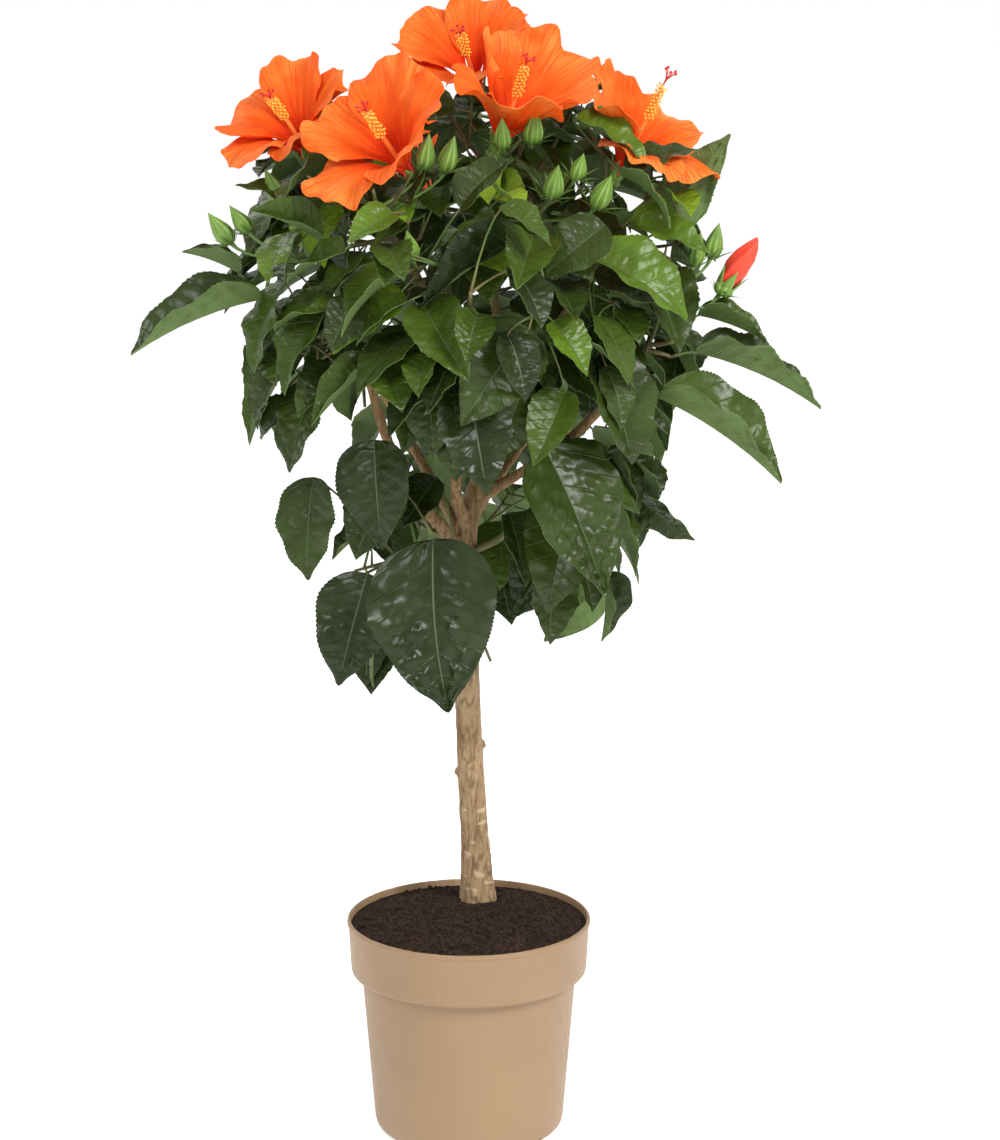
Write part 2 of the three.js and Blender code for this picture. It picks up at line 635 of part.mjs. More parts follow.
// The crown is open in these places, looked at from the front: x and z of the middle, then half width and height.
const frontEye = V(24.4, -2570, 1040);
const openings = [
  [-113, 446, 26, 21], [-111, 549, 17, 23], [-153, 529, 9, 19], [-174, 733, 15, 14],
  [-100, 479, 7, 20], [167, 550, 11, 25], [115, 418, 10, 25], [86, 402, 15, 11],
];

// True where a point, followed from the front eye to the plane y = 0, falls in an opening.
function inOpening(p) {
  const seen = p.clone().sub(frontEye).multiplyScalar(frontEye.y / (frontEye.y - p.y)).add(frontEye);
  return openings.some(([x, z, wide, high]) => Math.abs(seen.x - x) < wide && Math.abs(seen.z - z) < high);
}

// True where the blade would leave its space, or touch a limb, a bloom or a leaf that is already there.
function blocked(mass, leaf, root, strict) {
  const net = netOf(leaf);
  const stalk = [root, leaf.foot];
  const centre = leafPoint(leaf, 0.5, 0);
  const reach = leaf.length * 0.62;
  const outside = (p) => pastWalls(mass, p) > wallSlack || pastCrown(p) > crownSlack;
  const inBloom = (p) => bloomBalls.some((ball) => p.distanceTo(ball.centre) < ball.radius);
  if (strict && net.points.some((p) => outside(p) || inBloom(p) || inOpening(p))) return true;
  const near = V(0, 0, 0);
  const touched = rods.some(({ owner, a, b, radius }) => {
    const rodLine = new THREE.Line3(a, b);
    if (rodLine.closestPointToPoint(centre, true, near).distanceTo(centre) > reach + radius) return false;
    if ((strict || owner !== mass.name) && net.faces.some((face) => crosses([a, b], face))) return true;
    return owner !== mass.name
      && net.points.some((p) => rodLine.closestPointToPoint(p, true, near).distanceTo(p) < radius + 2);
  });
  if (touched) return true;
  const meets = leaves.some((other) => {
    if (other.centre.distanceTo(centre) > reach + other.reach) return false;
    const mine = [...net.lines, stalk];
    const theirs = [...other.net.lines, other.stalk];
    return other.net.faces.some((face) => mine.some((line) => crosses(line, face)))
      || net.faces.some((face) => theirs.some((line) => crosses(line, face)));
  });
  if (meets) return true;
  Object.assign(leaf, { net, stalk, centre, reach });
  return false;
}

function keep(mass, leaf, root) {
  leaf.root = root;
  leaves.push(leaf);
  mass.leaves.push(leaf);
}

// First the leaves that give the outline.
masses.forEach((mass) => {
  mass.leaves = [];
  mass.show.forEach(([form, bearing, height, reach, turn, hang, length, width, roll]) => {
    const out = V(Math.cos(rad(bearing)), Math.sin(rad(bearing)), 0);
    const foot = V(out.x * reach, out.y * reach, height);
    const heading = rad(bearing + turn);
    const level = Math.cos(rad(hang));
    const direction = V(Math.cos(heading) * level, Math.sin(heading) * level, -Math.sin(rad(hang)));
    const leaf = makeLeaf(foot, direction, out, length, width, roll, forms[form]);
    const root = freeRoot(mass, foot, direction);
    if (root && !blocked(mass, leaf, root, false)) keep(mass, leaf, root);
  });
});

// Then the others. Their sites climb round the crown in a spiral, and each tries a few ways to hang there.
const turns = [0, 22, -22, 44, -44];
const dips = [0, 12, -12, 24];
const depths = [0, 14, 30];

// Moves a leaf that stands a little across a wall back into its mass's space.
function shifted(mass, leaf) {
  mass.walls.forEach(({ away, limit }) => {
    const edge = [0.2, 0.5, 1].flatMap((t) => [-1, 1].map((s) => leafPoint(leaf, t, s)));
    const over = Math.max(...edge.map((p) => p.dot(away))) - limit;
    if (over > 0 && over < longestShift) leaf.foot.addScaledVector(away, -over);
  });
  return leaf;
}

const random = makeRandom(leafSeed);
for (let n = 0; n < leafSites; n += 1) {
  const inner = n % innerEvery === 2;
  const [radius, height] = crownSite((n + 0.5) / leafSites);
  if (height < lowestSite) continue;
  const high = (height - crownProfile[0][1]) / (crownProfile.at(-1)[1] - crownProfile[0][1]);
  const bearing = goldenTurn * n + mix(-9, 9, random());
  const length = mix(bladeLow, bladeHigh, high) * mix(0.84, 1.12, random());
  const width = length * mix(0.66, 0.78, random());
  const roll = mix(-26, 26, random());
  const form = { fold: mix(6, 34, random()), bend: mix(12, 46, random()) };
  const hang = mix(76, 22, high) + mix(-13, 13, random());
  const turn = mix(-34, 34, random());
  const out = V(Math.cos(rad(bearing)), Math.sin(rad(bearing)), 0);
  const place = (dTurn, dip, inwards) => {
    const heading = rad(bearing + turn + dTurn);
    const slope = rad(hang + dip);
    const level = Math.cos(slope);
    const direction = V(Math.cos(heading) * level, Math.sin(heading) * level, -Math.sin(slope));
    const middle = V(out.x * radius, out.y * radius, height).sub(vec(crownHeart));
    const sunk = inwards + 0.42 * length * level;
    middle.multiplyScalar(inner ? innerDepth : 1 - sunk / middle.length()).add(vec(crownHeart));
    const mass = masses.reduce((x, y) => (
      vec(y.heart).distanceTo(middle) < vec(x.heart).distanceTo(middle) ? y : x));
    const foot = along(middle, direction, -length * 0.62);
    const leaf = shifted(mass, makeLeaf(foot, direction, out, length, width, roll, form));
    const node = freeRoot(mass, leaf.foot, direction, longestPetiole);
    if (!node || blocked(mass, leaf, node, true)) return false;
    keep(mass, leaf, node);
    return true;
  };
  depths.some((inwards) => dips.some((dip) => turns.some((dTurn) => place(dTurn, dip, inwards))));
}

// ---------------------------------------------------------------- solids of leaves, buds and blooms
const half = (leaf) => Math.max(thinnestLeaf, leaf.length * leafThickness) / 2;

// A leaf is a ball of few faces drawn out: one pole is the root of the stalk and the other the blade's tip,
// and its four sides are the two edges, the face and the back.
function leafSolid(mass, leaf) {
  const stations = leaf.length > 100 ? [0.03, 0.17, 0.45, 0.75, 1] : [0.03, 0.22, 0.6, 1];
  const spans = stations.length + 1;
  const way = leaf.foot.clone().sub(leaf.root).normalize();
  const bent = new THREE.Quaternion().setFromUnitVectors(leaf.chord, way);
  const frames = [bent, bent.clone().slerp(new THREE.Quaternion(), 0.5)].map((turned) => (
    [leaf.side.clone().applyQuaternion(turned), leaf.face.clone().applyQuaternion(turned)]));
  const round = (middle, [side, face], s, h) => (
    held(mass, along(along(middle, side, s * petioleRadius), face, h * petioleRadius)));
  const ball = turnDiagonals(new THREE.SphereGeometry(1, 4, spans), 4, (row, k) => row > 1 && k % 2 === 0);
  return solidOf(shaped(ball, (x, y, z) => {
    const ring = Math.round((Math.acos(THREE.MathUtils.clamp(y, -1, 1)) / Math.PI) * spans);
    const wide = Math.sin((ring / spans) * Math.PI) || 1;
    const s = -Math.round(x / wide);
    const h = Math.round(z / wide);
    if (ring <= 1) return round(along(leaf.root, way, ring * 0.8 - 0.5), frames[0], s, h);
    if (ring === 2) return round(leafPoint(leaf, stations[0], 0), frames[1], s, h);
    return held(mass, leafPoint(leaf, stations[ring - 2], s, h * half(leaf)));
  }));
}

// A closed bud on its stalk, in one piece: round at the foot and drawn to a point.
function budSolid({ root, foot, tip, fat }) {
  const way = tip.clone().sub(foot).normalize();
  const body = [0.4, 0.75, 1].map((t) => foot.clone().lerp(tip, t));
  const points = [root, along(foot, way, -1), along(foot, way, 1.5), ...body];
  return solidOf(rod(points, [1.1, 1.1, fat * 0.7, fat, fat * 0.62, fat * 0.12], 4));
}

// A point of the open bloom: t from throat to rim, turn in degrees round the way it faces, h above the face.
// The rim runs out to the middle of each petal and in between two of them.
function bloomPoint(bloom, t, turn, h = 0) {
  const { faces, petal, flare } = bloom;
  const start = faces.clone().cross(Math.abs(faces.z) > 0.99 ? V(1, 0, 0) : up).normalize();
  const out = start.applyAxisAngle(faces, rad(bloom.turn + turn));
  const lobe = Math.abs(Math.sin(rad((turn * petalCount) / 2)));
  const reach = t * mix(1, mix(0.88, 1.04, lobe ** 0.6), t);
  const spread = rad(flare - petalLean);
  const a = rad(petalLean) + spread * reach;
  const high = (petal * (Math.sin(a) - Math.sin(rad(petalLean)))) / spread;
  const wide = (petal * (Math.cos(rad(petalLean)) - Math.cos(a))) / spread;
  const normal = along(faces.clone().multiplyScalar(Math.sin(a)), out, -Math.cos(a));
  return along(along(along(bloom.foot, faces, petalFoot + high), out, petalRing + wide), normal, h);
}

// A bloom is one ball drawn out along its axis and pushed in on itself: its stalk, the green cup, the outside
// of the corolla, the rim, the inside, and the column that stands up out of the throat. It is made fatter by
// the gap that its neighbours keep.
const bloomSides = 2 * petalCount;
function bloomSolid({ root, foot, faces, ...bloom }, gap = 0) {
  const { petal } = bloom;
  const at = (distance) => along(foot, faces, distance);
  const side = faces.clone().cross(Math.abs(faces.z) > 0.99 ? V(1, 0, 0) : up).normalize()
    .applyAxisAngle(faces, rad(bloom.turn));
  const upright = new THREE.Quaternion();
  const bent = new THREE.Quaternion().setFromUnitVectors(faces, foot.clone().sub(root).normalize());
  const ring = (middle, radius, tilt = upright) => (turn) => {
    const out = side.clone().applyAxisAngle(faces, turn).applyQuaternion(tilt);
    return along(middle, out, radius + gap);
  };
  const pole = (middle) => () => middle;
  const { radToDeg } = THREE.MathUtils;
  const petals = (t, h) => (turn) => bloomPoint({ ...bloom, foot, faces }, t, radToDeg(turn), h);
  const thin = petalThickness / 2 + gap;
  const cup = [pole(root), ring(root, 1.5, bent), ring(foot, 1.7, upright.clone().slerp(bent, 0.5)),
    ring(at(6), 6), ring(at(petalFoot + 2), 7.5)];
  const corolla = [petals(0.52, -thin), petals(1 + gap / petalFoot, 0), petals(0.52, thin)];
  const column = [ring(at(petalFoot + 3), 2.6), ring(at(petal * 0.66), 2.2), ring(at(petal * 0.76), 4.6),
    ring(at(petal * 0.98), 4.2), pole(at(petal * 1.06 + gap))];
  const rings = [...cup, ...corolla, ...column];
  const spans = rings.length - 1;
  const inside = [cup.length + 1, cup.length + 2];
  const ball = turnDiagonals(new THREE.SphereGeometry(1, bloomSides, spans), bloomSides, (row) => (
    inside.includes(row)));
  return solidOf(shaped(ball, (x, y, z) => {
    const i = Math.round((Math.acos(THREE.MathUtils.clamp(y, -1, 1)) / Math.PI) * spans);
    const turn = (Math.round((Math.atan2(z, x) / (2 * Math.PI)) * bloomSides) * 2 * Math.PI) / bloomSides;
    return rings[i](turn);
  }));
}

// The stem runs on into its first shoot as one rod. A shoot that bears nothing is left off.
function twigSolids(mass) {
  const borne = [...mass.leaves, ...mass.budParts, ...mass.bloomParts];
  const bearing = new Set(borne.map(({ root }) => root.shoot));
  const [first, ...others] = mass.shootLines;
  const main = [...mass.stemLine, ...first.slice(1)];
  const radii = main.map((_, i) => mix(stemRadius, shootRadius, Math.min(1, i / mass.stemLine.length)));
  const shoots = others.filter((_, i) => bearing.has(i + 1)).map((line) => twig(line, shootRadius, 4));
  return [rod(main, radii, 5), ...shoots].map(solidOf);
}

// What the other solids must keep out of: every limb and every other mass's twigs, each a little fatter.
const limbGuards = Object.keys(limbs).map((name) => limbSolid(name, clear));
masses.forEach((mass) => {
  const fat = (line, radius) => solidOf(twig(line, radius + clear, 5));
  mass.twigGuard = wasm.Manifold.union([fat(mass.stemLine, stemRadius), ...mass.shootLines.map((line) =>
    fat(line, shootRadius))]);
});

// A bloom may stand across the wall of its mass's space. There the other masses are cut back from it, and of
// two blooms that meet, the one of the earlier mass.
const bloomGuards = (some) => some.flatMap(({ bloomParts }) => (
  bloomParts.map((bloom) => bloomSolid(bloom, clear))));
function massSolid(mass) {
  const parts = [
    ...twigSolids(mass),
    ...mass.leaves.map((leaf) => leafSolid(mass, leaf)),
    ...mass.budParts.map(budSolid),
  ];
  const others = masses.filter((other) => other !== mass);
  const later = masses.slice(masses.indexOf(mass) + 1);
  const guards = [...limbGuards, ...others.map(({ twigGuard }) => twigGuard)];
  const union = (solids) => wasm.Manifold.union(solids);
  const leafy = union(parts).subtract(union([...guards, ...bloomGuards(others)]));
  if (!mass.bloomParts.length) return largestBody(leafy.simplify(0.1));
  const blooms = union(mass.bloomParts.map((bloom) => bloomSolid(bloom)));
  return largestBody(leafy.add(blooms.subtract(union([...guards, ...bloomGuards(later)]))).simplify(0.1));
}

// ---------------------------------------------------------------- the whole plant
const finish = (color, roughness) => new THREE.MeshStandardMaterial({ color, roughness, metalness: 0 });
const materials = {
  pot: finish(0xc2a384, 0.55),
  compost: finish(0x3a2a22, 0.95),
  bark: finish(0x9c7b56, 0.85),
  foliage: finish(0x2f5226, 0.4),
};

const plant = new THREE.Group();
function add(name, solid, material) {
  const mesh = new THREE.Mesh(geometryOf(solid), material);
  mesh.name = name;
  plant.add(mesh);
}

add("pot", potSolid(), materials.pot);
add("compost", compostSolid(), materials.compost);
add("trunk", trunkSolid(), materials.bark);
const trunkGuard = limbSolid("trunk", clear);
Object.keys(limbs).filter((name) => name !== "trunk").forEach((name) => {
  add(name, largestBody(limbSolid(name).subtract(trunkGuard)), materials.bark);
});
masses.forEach((mass) => add(mass.name, massSolid(mass), materials.foliage));

export default plant;
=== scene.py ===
# %% [markdown]
# # A hibiscus grown as a small standard tree
# The plant stands in a nursery pot: a bare trunk, a round crown of toothed leaves, orange blooms and buds.
# Everything is made in its final place around a imported frame of plain solids, so the first step loads that
# frame and keeps its solids where they stand. Sizes are worked out in millimetres and turned into metres when
# a mesh is made.

# %% Load the frame
import math
from itertools import product

import bmesh
import bpy
import numpy as np
from mathutils import Matrix, Vector, noise


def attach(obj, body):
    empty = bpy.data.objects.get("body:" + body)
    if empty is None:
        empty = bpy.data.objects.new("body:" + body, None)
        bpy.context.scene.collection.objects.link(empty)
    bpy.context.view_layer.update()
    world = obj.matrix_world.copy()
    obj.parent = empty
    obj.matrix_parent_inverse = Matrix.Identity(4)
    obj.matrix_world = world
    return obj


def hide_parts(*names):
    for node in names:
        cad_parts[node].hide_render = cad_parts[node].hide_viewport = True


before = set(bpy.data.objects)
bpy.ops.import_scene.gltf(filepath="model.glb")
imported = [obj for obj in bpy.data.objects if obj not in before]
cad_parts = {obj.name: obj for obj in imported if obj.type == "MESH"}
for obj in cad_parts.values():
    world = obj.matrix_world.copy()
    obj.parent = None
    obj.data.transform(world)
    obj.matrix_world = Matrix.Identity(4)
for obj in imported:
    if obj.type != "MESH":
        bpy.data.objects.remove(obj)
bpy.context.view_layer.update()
scene = bpy.context.scene

# %% [markdown]
# ## Camera, floor and light
# The plant is looked at from a little above the crown with a long lens, so its outline is hardly bent by
# perspective. A soft even sky gives most of the light, because leaves in hard light turn black in between.
# One large lamp from the right, in front, gives the shaded side of the pot. A smaller one from the left puts
# the glints on the puckered leaves, and a weak one behind lifts the rim of the crown.

# %% Camera
camera_place, camera_tilt, camera_lens = (0.0244, -2.5703, 1.04), 12.978, 109.05
camera_data = bpy.data.cameras.new("camera")
camera_data.lens, camera_data.sensor_width, camera_data.clip_end = camera_lens, 36, 100
camera_data.sensor_fit = "AUTO"
camera = bpy.data.objects.new("camera", camera_data)
camera.location = camera_place
camera.rotation_euler = (math.radians(90 - camera_tilt), 0, 0)
scene.collection.objects.link(camera)
scene.camera = camera

# %% Floor
floor_half = 16
floor_mesh = bpy.data.meshes.new("floor")
bm = bmesh.new()
bmesh.ops.create_grid(bm, x_segments=2, y_segments=2, size=floor_half)
bm.to_mesh(floor_mesh)
bm.free()
floor = bpy.data.objects.new("floor", floor_mesh)
scene.collection.objects.link(floor)

# %% Light
scene.view_settings.view_transform = "Standard"
world = bpy.data.worlds.new("soft_sky")
world.use_nodes = True
sky = world.node_tree.nodes["Background"].inputs
sky["Color"].default_value, sky["Strength"].default_value = (1, 1, 1, 1), 0.62
scene.world = world


def add_lamp(name, place, aim, size, watts):
    data = bpy.data.lights.new(name, "AREA")
    data.size, data.energy = size, watts
    lamp = bpy.data.objects.new(name, data)
    lamp.location = place
    lamp.rotation_euler = (Vector(aim) - Vector(place)).to_track_quat("-Z", "Y").to_euler()
    scene.collection.objects.link(lamp)


add_lamp("key_lamp", (1.7, -1.7, 2.3), (0, 0, 0.5), 1.0, 70)
add_lamp("left_lamp", (-1.0, -2.0, 2.0), (0, 0, 0.6), 0.7, 22)
add_lamp("back_lamp", (-1.3, 1.5, 2.2), (0, 0, 0.6), 1.2, 14)
print("camera at", camera_place, "lens", camera_lens)

# %% [markdown]
# ## A short way to write a finish
# A finish is a small network of nodes. Written out in full, each is a page of links, so a recipe object adds
# a node, sets or links its sockets, and hands back the socket that the next step needs.


# %% Recipe for a finish
class Recipe:
    def __init__(self, name):
        self.material = bpy.data.materials.new(name)
        self.material.use_nodes = True
        self.tree = self.material.node_tree

    def put(self, socket, value):
        """Links a socket to another one, or gives it a value of its own."""
        if isinstance(value, bpy.types.NodeSocket):
            self.tree.links.new(value, socket)
        elif socket.type == "RGBA":
            socket.default_value = (*value, 1)
        else:
            socket.default_value = value

    def add(self, kind, out=0, settings=(), **sockets):
        """A node. Its sockets go by name, with _ for a space, or by number: i0, i1 and so on."""
        node = self.tree.nodes.new("ShaderNode" + kind)
        for key, value in dict(settings).items():
            setattr(node, key, value)
        for key, value in sockets.items():
            numbered = key[0] == "i" and key[1:].isdigit()
            self.put(node.inputs[int(key[1:]) if numbered else key.replace("_", " ")], value)
        return node.outputs[out]

    def where(self):
        return self.add("TexCoord", "Object")

    def stretch(self, vector, scale, turn=(0, 0, 0)):
        return self.add("Mapping", Vector=vector, Scale=scale, Rotation=turn)

    def noise(self, vector, scale, detail=3.0, roughness=0.55):
        return self.add("TexNoise", Vector=vector, Scale=scale, Detail=detail, Roughness=roughness)

    def math(self, operation, a, b=0.0):
        return self.add("Math", 0, {"operation": operation}, i0=a, i1=b)

    def range(self, value, low, high, to_low=0.0, to_high=1.0):
        return self.add("MapRange", 0, {"interpolation_type": "SMOOTHSTEP"}, Value=value, From_Min=low,
                        From_Max=high, To_Min=to_low, To_Max=to_high)

    def mix(self, share, a, b):
        return self.add("Mix", 2, {"data_type": "RGBA"}, i0=share, i6=a, i7=b)

    def over(self, under, tone, driver, low, high, most=1.0):
        """A tone laid over another as a driver goes from low to high."""
        return self.mix(self.range(driver, low, high, 0, most), under, tone)

    def bump(self, height, strength, distance):
        return self.add("Bump", Strength=strength, Distance=distance, Height=height)

    def finish(self, **sockets):
        for key, value in sockets.items():
            self.put(self.tree.nodes["Principled BSDF"].inputs[key.replace("_", " ")], value)
        return self.material


def plain_finish(name, scale, dark, light, roughness, **sockets):
    """A finish of two colours that a noise mixes, all of one roughness."""
    r = Recipe(name)
    return r.finish(Base_Color=r.mix(r.noise(r.where(), scale), dark, light), Roughness=roughness, **sockets)


# %% Helpers for pieces
mm = 0.001


def new_piece(name, mesh, replaced=(), smooth=True):
    """A finished mesh becomes a piece of the plant: it rides on the one body and stands for its solids."""
    piece = bpy.data.objects.new(name, mesh)
    scene.collection.objects.link(piece)
    if smooth:
        mesh.shade_smooth()
    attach(piece, "root")
    if replaced:
        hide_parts(*replaced)
    print(name, "faces", len(mesh.polygons), "triangles", sum(len(p.vertices) - 2 for p in mesh.polygons))


def mesh_from(name, points, faces, materials=(), material_of=None):
    """One mesh from arrays: points in millimetres, and rows of corner numbers, -1 where a face has fewer."""
    mesh = bpy.data.meshes.new(name)
    faces = np.asarray(faces)
    used = faces >= 0
    counts = used.sum(1)
    mesh.vertices.add(len(points))
    mesh.vertices.foreach_set("co", (np.asarray(points) * mm).astype(np.float32).ravel())
    mesh.loops.add(int(counts.sum()))
    mesh.loops.foreach_set("vertex_index", faces[used].astype(np.int32))
    mesh.polygons.add(len(faces))
    starts = np.concatenate([[0], np.cumsum(counts)[:-1]])
    mesh.polygons.foreach_set("loop_start", starts.astype(np.int32))
    for material in materials:
        mesh.materials.append(material)
    if material_of is not None:
        mesh.polygons.foreach_set("material_index", np.asarray(material_of, np.int32))
    mesh.update(calc_edges=True)
    mesh.validate()
    return mesh


def stamp(templates):
    """Joins many copies: each entry is (points, faces), and the corner numbers are moved on for each."""
    points, faces, start = [], [], 0
    width = max(f.shape[1] for _, f in templates)
    for p, f in templates:
        moved = np.where(f >= 0, f + start, -1)
        faces.append(np.pad(moved, ((0, 0), (0, width - f.shape[1])), constant_values=-1))
        points.append(p)
        start += len(p)
    return np.concatenate(points), np.concatenate(faces)


def arrays_of(bm):
    """Points and corner numbers of a bmesh as arrays. The bmesh isn't needed after that."""
    bm.verts.index_update()
    points = np.array([v.co[:] for v in bm.verts])
    most = max(len(f.verts) for f in bm.faces)
    faces = np.full((len(bm.faces), most), -1)
    for row, f in zip(faces, bm.faces):
        row[:len(f.verts)] = [v.index for v in f.verts]
    bm.free()
    return points, faces


def put_uv(mesh, name, uv_of_point):
    """A UV map from one pair of numbers for each point of the mesh."""
    layer = mesh.uv_layers.new(name=name)
    corners = np.empty(len(mesh.loops), np.int32)
    mesh.loops.foreach_get("vertex_index", corners)
    layer.data.foreach_set("uv", np.asarray(uv_of_point, np.float32)[corners].ravel())


# %% Floor finish
paper = Recipe("pale_floor")
floor_mesh.materials.append(paper.finish(Base_Color=(0.93, 0.93, 0.93), Roughness=0.9,
                                         Emission_Color=(1.0, 1.0, 1.0), Emission_Strength=0.42))

# %% [markdown]
# ## The pot
# A nursery pot is one thin plastic shell, moulded round its axis: a tapering body, a thicker collar that the
# hand grips, a rolled lip, and a foot ring with notches that let water out of the channel beneath. It could
# be stacked from cones, but then the lip and the collar's undercut stay sharp. Here one section line is drawn
# and spun round the axis, with a few points at each turn so that light runs round the edges.

# %% Pot: section line
pot_radius, pot_height, pot_wall = 95, 170, 2.2
foot_radius, body_top_radius, collar_foot_radius, collar_height = 73.5, 83.8, 92.2, 45
stand_radius, channel_height = 52, 4
collar_foot = pot_height - collar_height
spin_steps = 128


def bend_round(a, corner, b, steps=5):
    """Points that turn a corner smoothly from a to b."""
    return [tuple((1 - t) ** 2 * p + 2 * t * (1 - t) * q + t ** 2 * r for p, q, r in zip(a, corner, b))
            for t in np.linspace(0, 1, steps)]


# From the middle of the underside outwards, up the wall with its collar, and over the lip.
pot_outside = [
    (0, 0.2), (stand_radius, 0.2), (stand_radius + 2, channel_height),
    (foot_radius - 12, channel_height), (foot_radius - 11, 0.6), (foot_radius - 10.4, 0),
    *bend_round((foot_radius - 6, 0), (foot_radius, 0), (foot_radius + 0.8, 9), 8),
    (body_top_radius - 0.3, collar_foot - 4),
    *bend_round((body_top_radius, collar_foot + 0.3), (body_top_radius + 0.1, collar_foot + 2.6),
                (body_top_radius + 2.6, collar_foot + 2.2), 4),
    *bend_round((collar_foot_radius - 4.2, collar_foot + 1.4), (collar_foot_radius, collar_foot + 1.4),
                (collar_foot_radius, collar_foot + 6.5), 6),
    (pot_radius - 1.1, pot_height - 5.4), (pot_radius - 0.9, pot_height - 4.2),
    *bend_round((pot_radius, pot_height - 3.2), (pot_radius, pot_height), (pot_radius - 1.3, pot_height), 5),
    *bend_round((pot_radius - 1.9, pot_height), (pot_radius - 2.6, pot_height),
                (pot_radius - 2.8, pot_height - 1.6), 4)]


def inner_line(gap):
    """The pot's inner side, from below the lip down to the middle of its floor, or what lies a gap off it."""
    wall = pot_wall + gap
    floor_at = channel_height + pot_wall + gap
    return [(collar_foot_radius - wall, collar_foot + 10), (body_top_radius - wall, collar_foot - 3),
            (foot_radius - wall + 0.6, floor_at + 7), (foot_radius - 9 - gap, floor_at),
            (stand_radius - gap, floor_at), (stand_radius - 2 - gap, pot_wall + gap), (0, pot_wall + gap)]


def spun(section, steps):
    """A section line, as radius and height, turned once round the upright axis into a closed shell."""
    shell = bmesh.new()
    ring = [shell.verts.new((r, 0, z)) for r, z in section]
    edges = [shell.edges.new(pair) for pair in zip(ring, ring[1:])]
    bmesh.ops.spin(shell, geom=ring + edges, cent=(0, 0, 0), axis=(0, 0, 1), angle=2 * math.pi,
                   steps=steps, use_merge=True)
    bmesh.ops.remove_doubles(shell, verts=shell.verts, dist=1e-3)
    bmesh.ops.recalc_face_normals(shell, faces=shell.faces)
    return shell


pot_section = pot_outside + inner_line(0)
pot_shell = spun([(r * mm, z * mm) for r, z in pot_section], spin_steps)
print("pot section points", len(pot_section))

# %% Pot: drain notches
drain_count, drain_width, drain_height, drain_reach, first_drain = 8, 9, 3.4, 15, -131
notches = bmesh.new()
for i in range(drain_count):
    turn = math.radians(first_drain + i * 360 / drain_count)
    made = bmesh.ops.create_cube(notches, size=1)["verts"]
    bmesh.ops.scale(notches, vec=(2 * drain_reach * mm, drain_width * mm, 2 * drain_height * mm), verts=made)
    bmesh.ops.translate(notches, vec=(foot_radius * mm, 0, 0), verts=made)
    bmesh.ops.rotate(notches, cent=(0, 0, 0), matrix=Matrix.Rotation(turn, 3, "Z"), verts=made)
print("drain notches", drain_count)


def mesh_of(name, shell):
    mesh = bpy.data.meshes.new(name)
    shell.to_mesh(mesh)
    shell.free()
    return mesh


def with_modifiers(source_mesh, name, *modifiers):
    """A new mesh: the source after its modifiers. Each is its kind and its settings."""
    holder = bpy.data.objects.new("holder", source_mesh)
    scene.collection.objects.link(holder)
    for kind, settings in modifiers:
        modifier = holder.modifiers.new(kind.lower(), kind)
        for key, value in settings.items():
            setattr(modifier, key, value)
    graph = bpy.context.evaluated_depsgraph_get()
    mesh = bpy.data.meshes.new_from_object(holder.evaluated_get(graph), depsgraph=graph)
    mesh.name = name
    bpy.data.objects.remove(holder)
    return mesh


cutter = bpy.data.objects.new("cutter", mesh_of("cutter", notches))
scene.collection.objects.link(cutter)
pot_mesh = with_modifiers(mesh_of("pot_shell", pot_shell), "pot_shell",
                          ("BOOLEAN", {"operation": "DIFFERENCE", "solver": "EXACT", "object": cutter}))
bpy.data.objects.remove(cutter)
pot_mesh.set_sharp_from_angle(angle=math.radians(38))

# %% [markdown]
# ## Pot finish
# The plastic is a warm beige with a satin skin. Recycled plastic is never one even colour: it has faint
# clouds, fine specks, and dull scuffs where pots rub. The clouds and specks steer the colour, the scuffs
# steer the roughness a little, and a very fine grain stands in for the moulded skin.

# %% Pot: finish
beige = Recipe("satin_beige_plastic")
at = beige.where()
clouds = beige.noise(at, 9, detail=4)
specks = beige.noise(at, 420, detail=2)
plastic_colour = beige.over((0.286, 0.180, 0.097), (0.320, 0.203, 0.109), clouds, 0.3, 0.7)
plastic_colour = beige.over(plastic_colour, (0.36, 0.24, 0.15), specks, 0.6, 0.78, 0.35)
foot_dust = beige.range(beige.add("SeparateXYZ", 2, Vector=at), 0.0, 0.03, 0.22, 0)
plastic_colour = beige.mix(foot_dust, plastic_colour, (0.30, 0.20, 0.13))
scuffs = beige.noise(beige.stretch(at, (3, 3, 0.6)), 60, detail=5, roughness=0.7)
plastic_skin = beige.math("ADD", beige.math("MULTIPLY", beige.noise(at, 900, detail=1), 0.5),
                          beige.math("MULTIPLY", scuffs, 0.6))
pot_material = beige.finish(Base_Color=plastic_colour, Roughness=beige.range(scuffs, 0.3, 0.75, 0.40, 0.56),
                            Specular_IOR_Level=0.45, Normal=beige.bump(plastic_skin, 0.12, 0.0004))
pot_mesh.materials.clear()
pot_mesh.materials.append(pot_material)
new_piece("pot_shell", pot_mesh, ["pot"])

# %% [markdown]
# ## The compost
# Peat compost fills the pot to just above the rim's edge. Its surface is not flat: it heaves a little, it is
# a mass of crumbs from dust to a few millimetres, and it has sunk where water ran. A spun disc with a dense
# middle carries the heave and the grit, and loose crumbs are stamped over it, because their small shadows
# are what makes earth look like earth.

# %% Compost: bed
compost_top, compost_edge, compost_flat = 175, 165, 50
clear_gap = 0.3
rim_inside = collar_foot_radius + (pot_radius - collar_foot_radius) * (
    (compost_edge - collar_foot) / collar_height) - pot_wall - 3 * clear_gap


def bed_height(r):
    """Height of the settled compost at a distance from the axis."""
    slope = [(0, compost_top), (compost_flat, compost_top), (compost_flat + 20, compost_top - 3),
             (rim_inside, compost_edge)]
    return float(np.interp(r, *zip(*slope)))


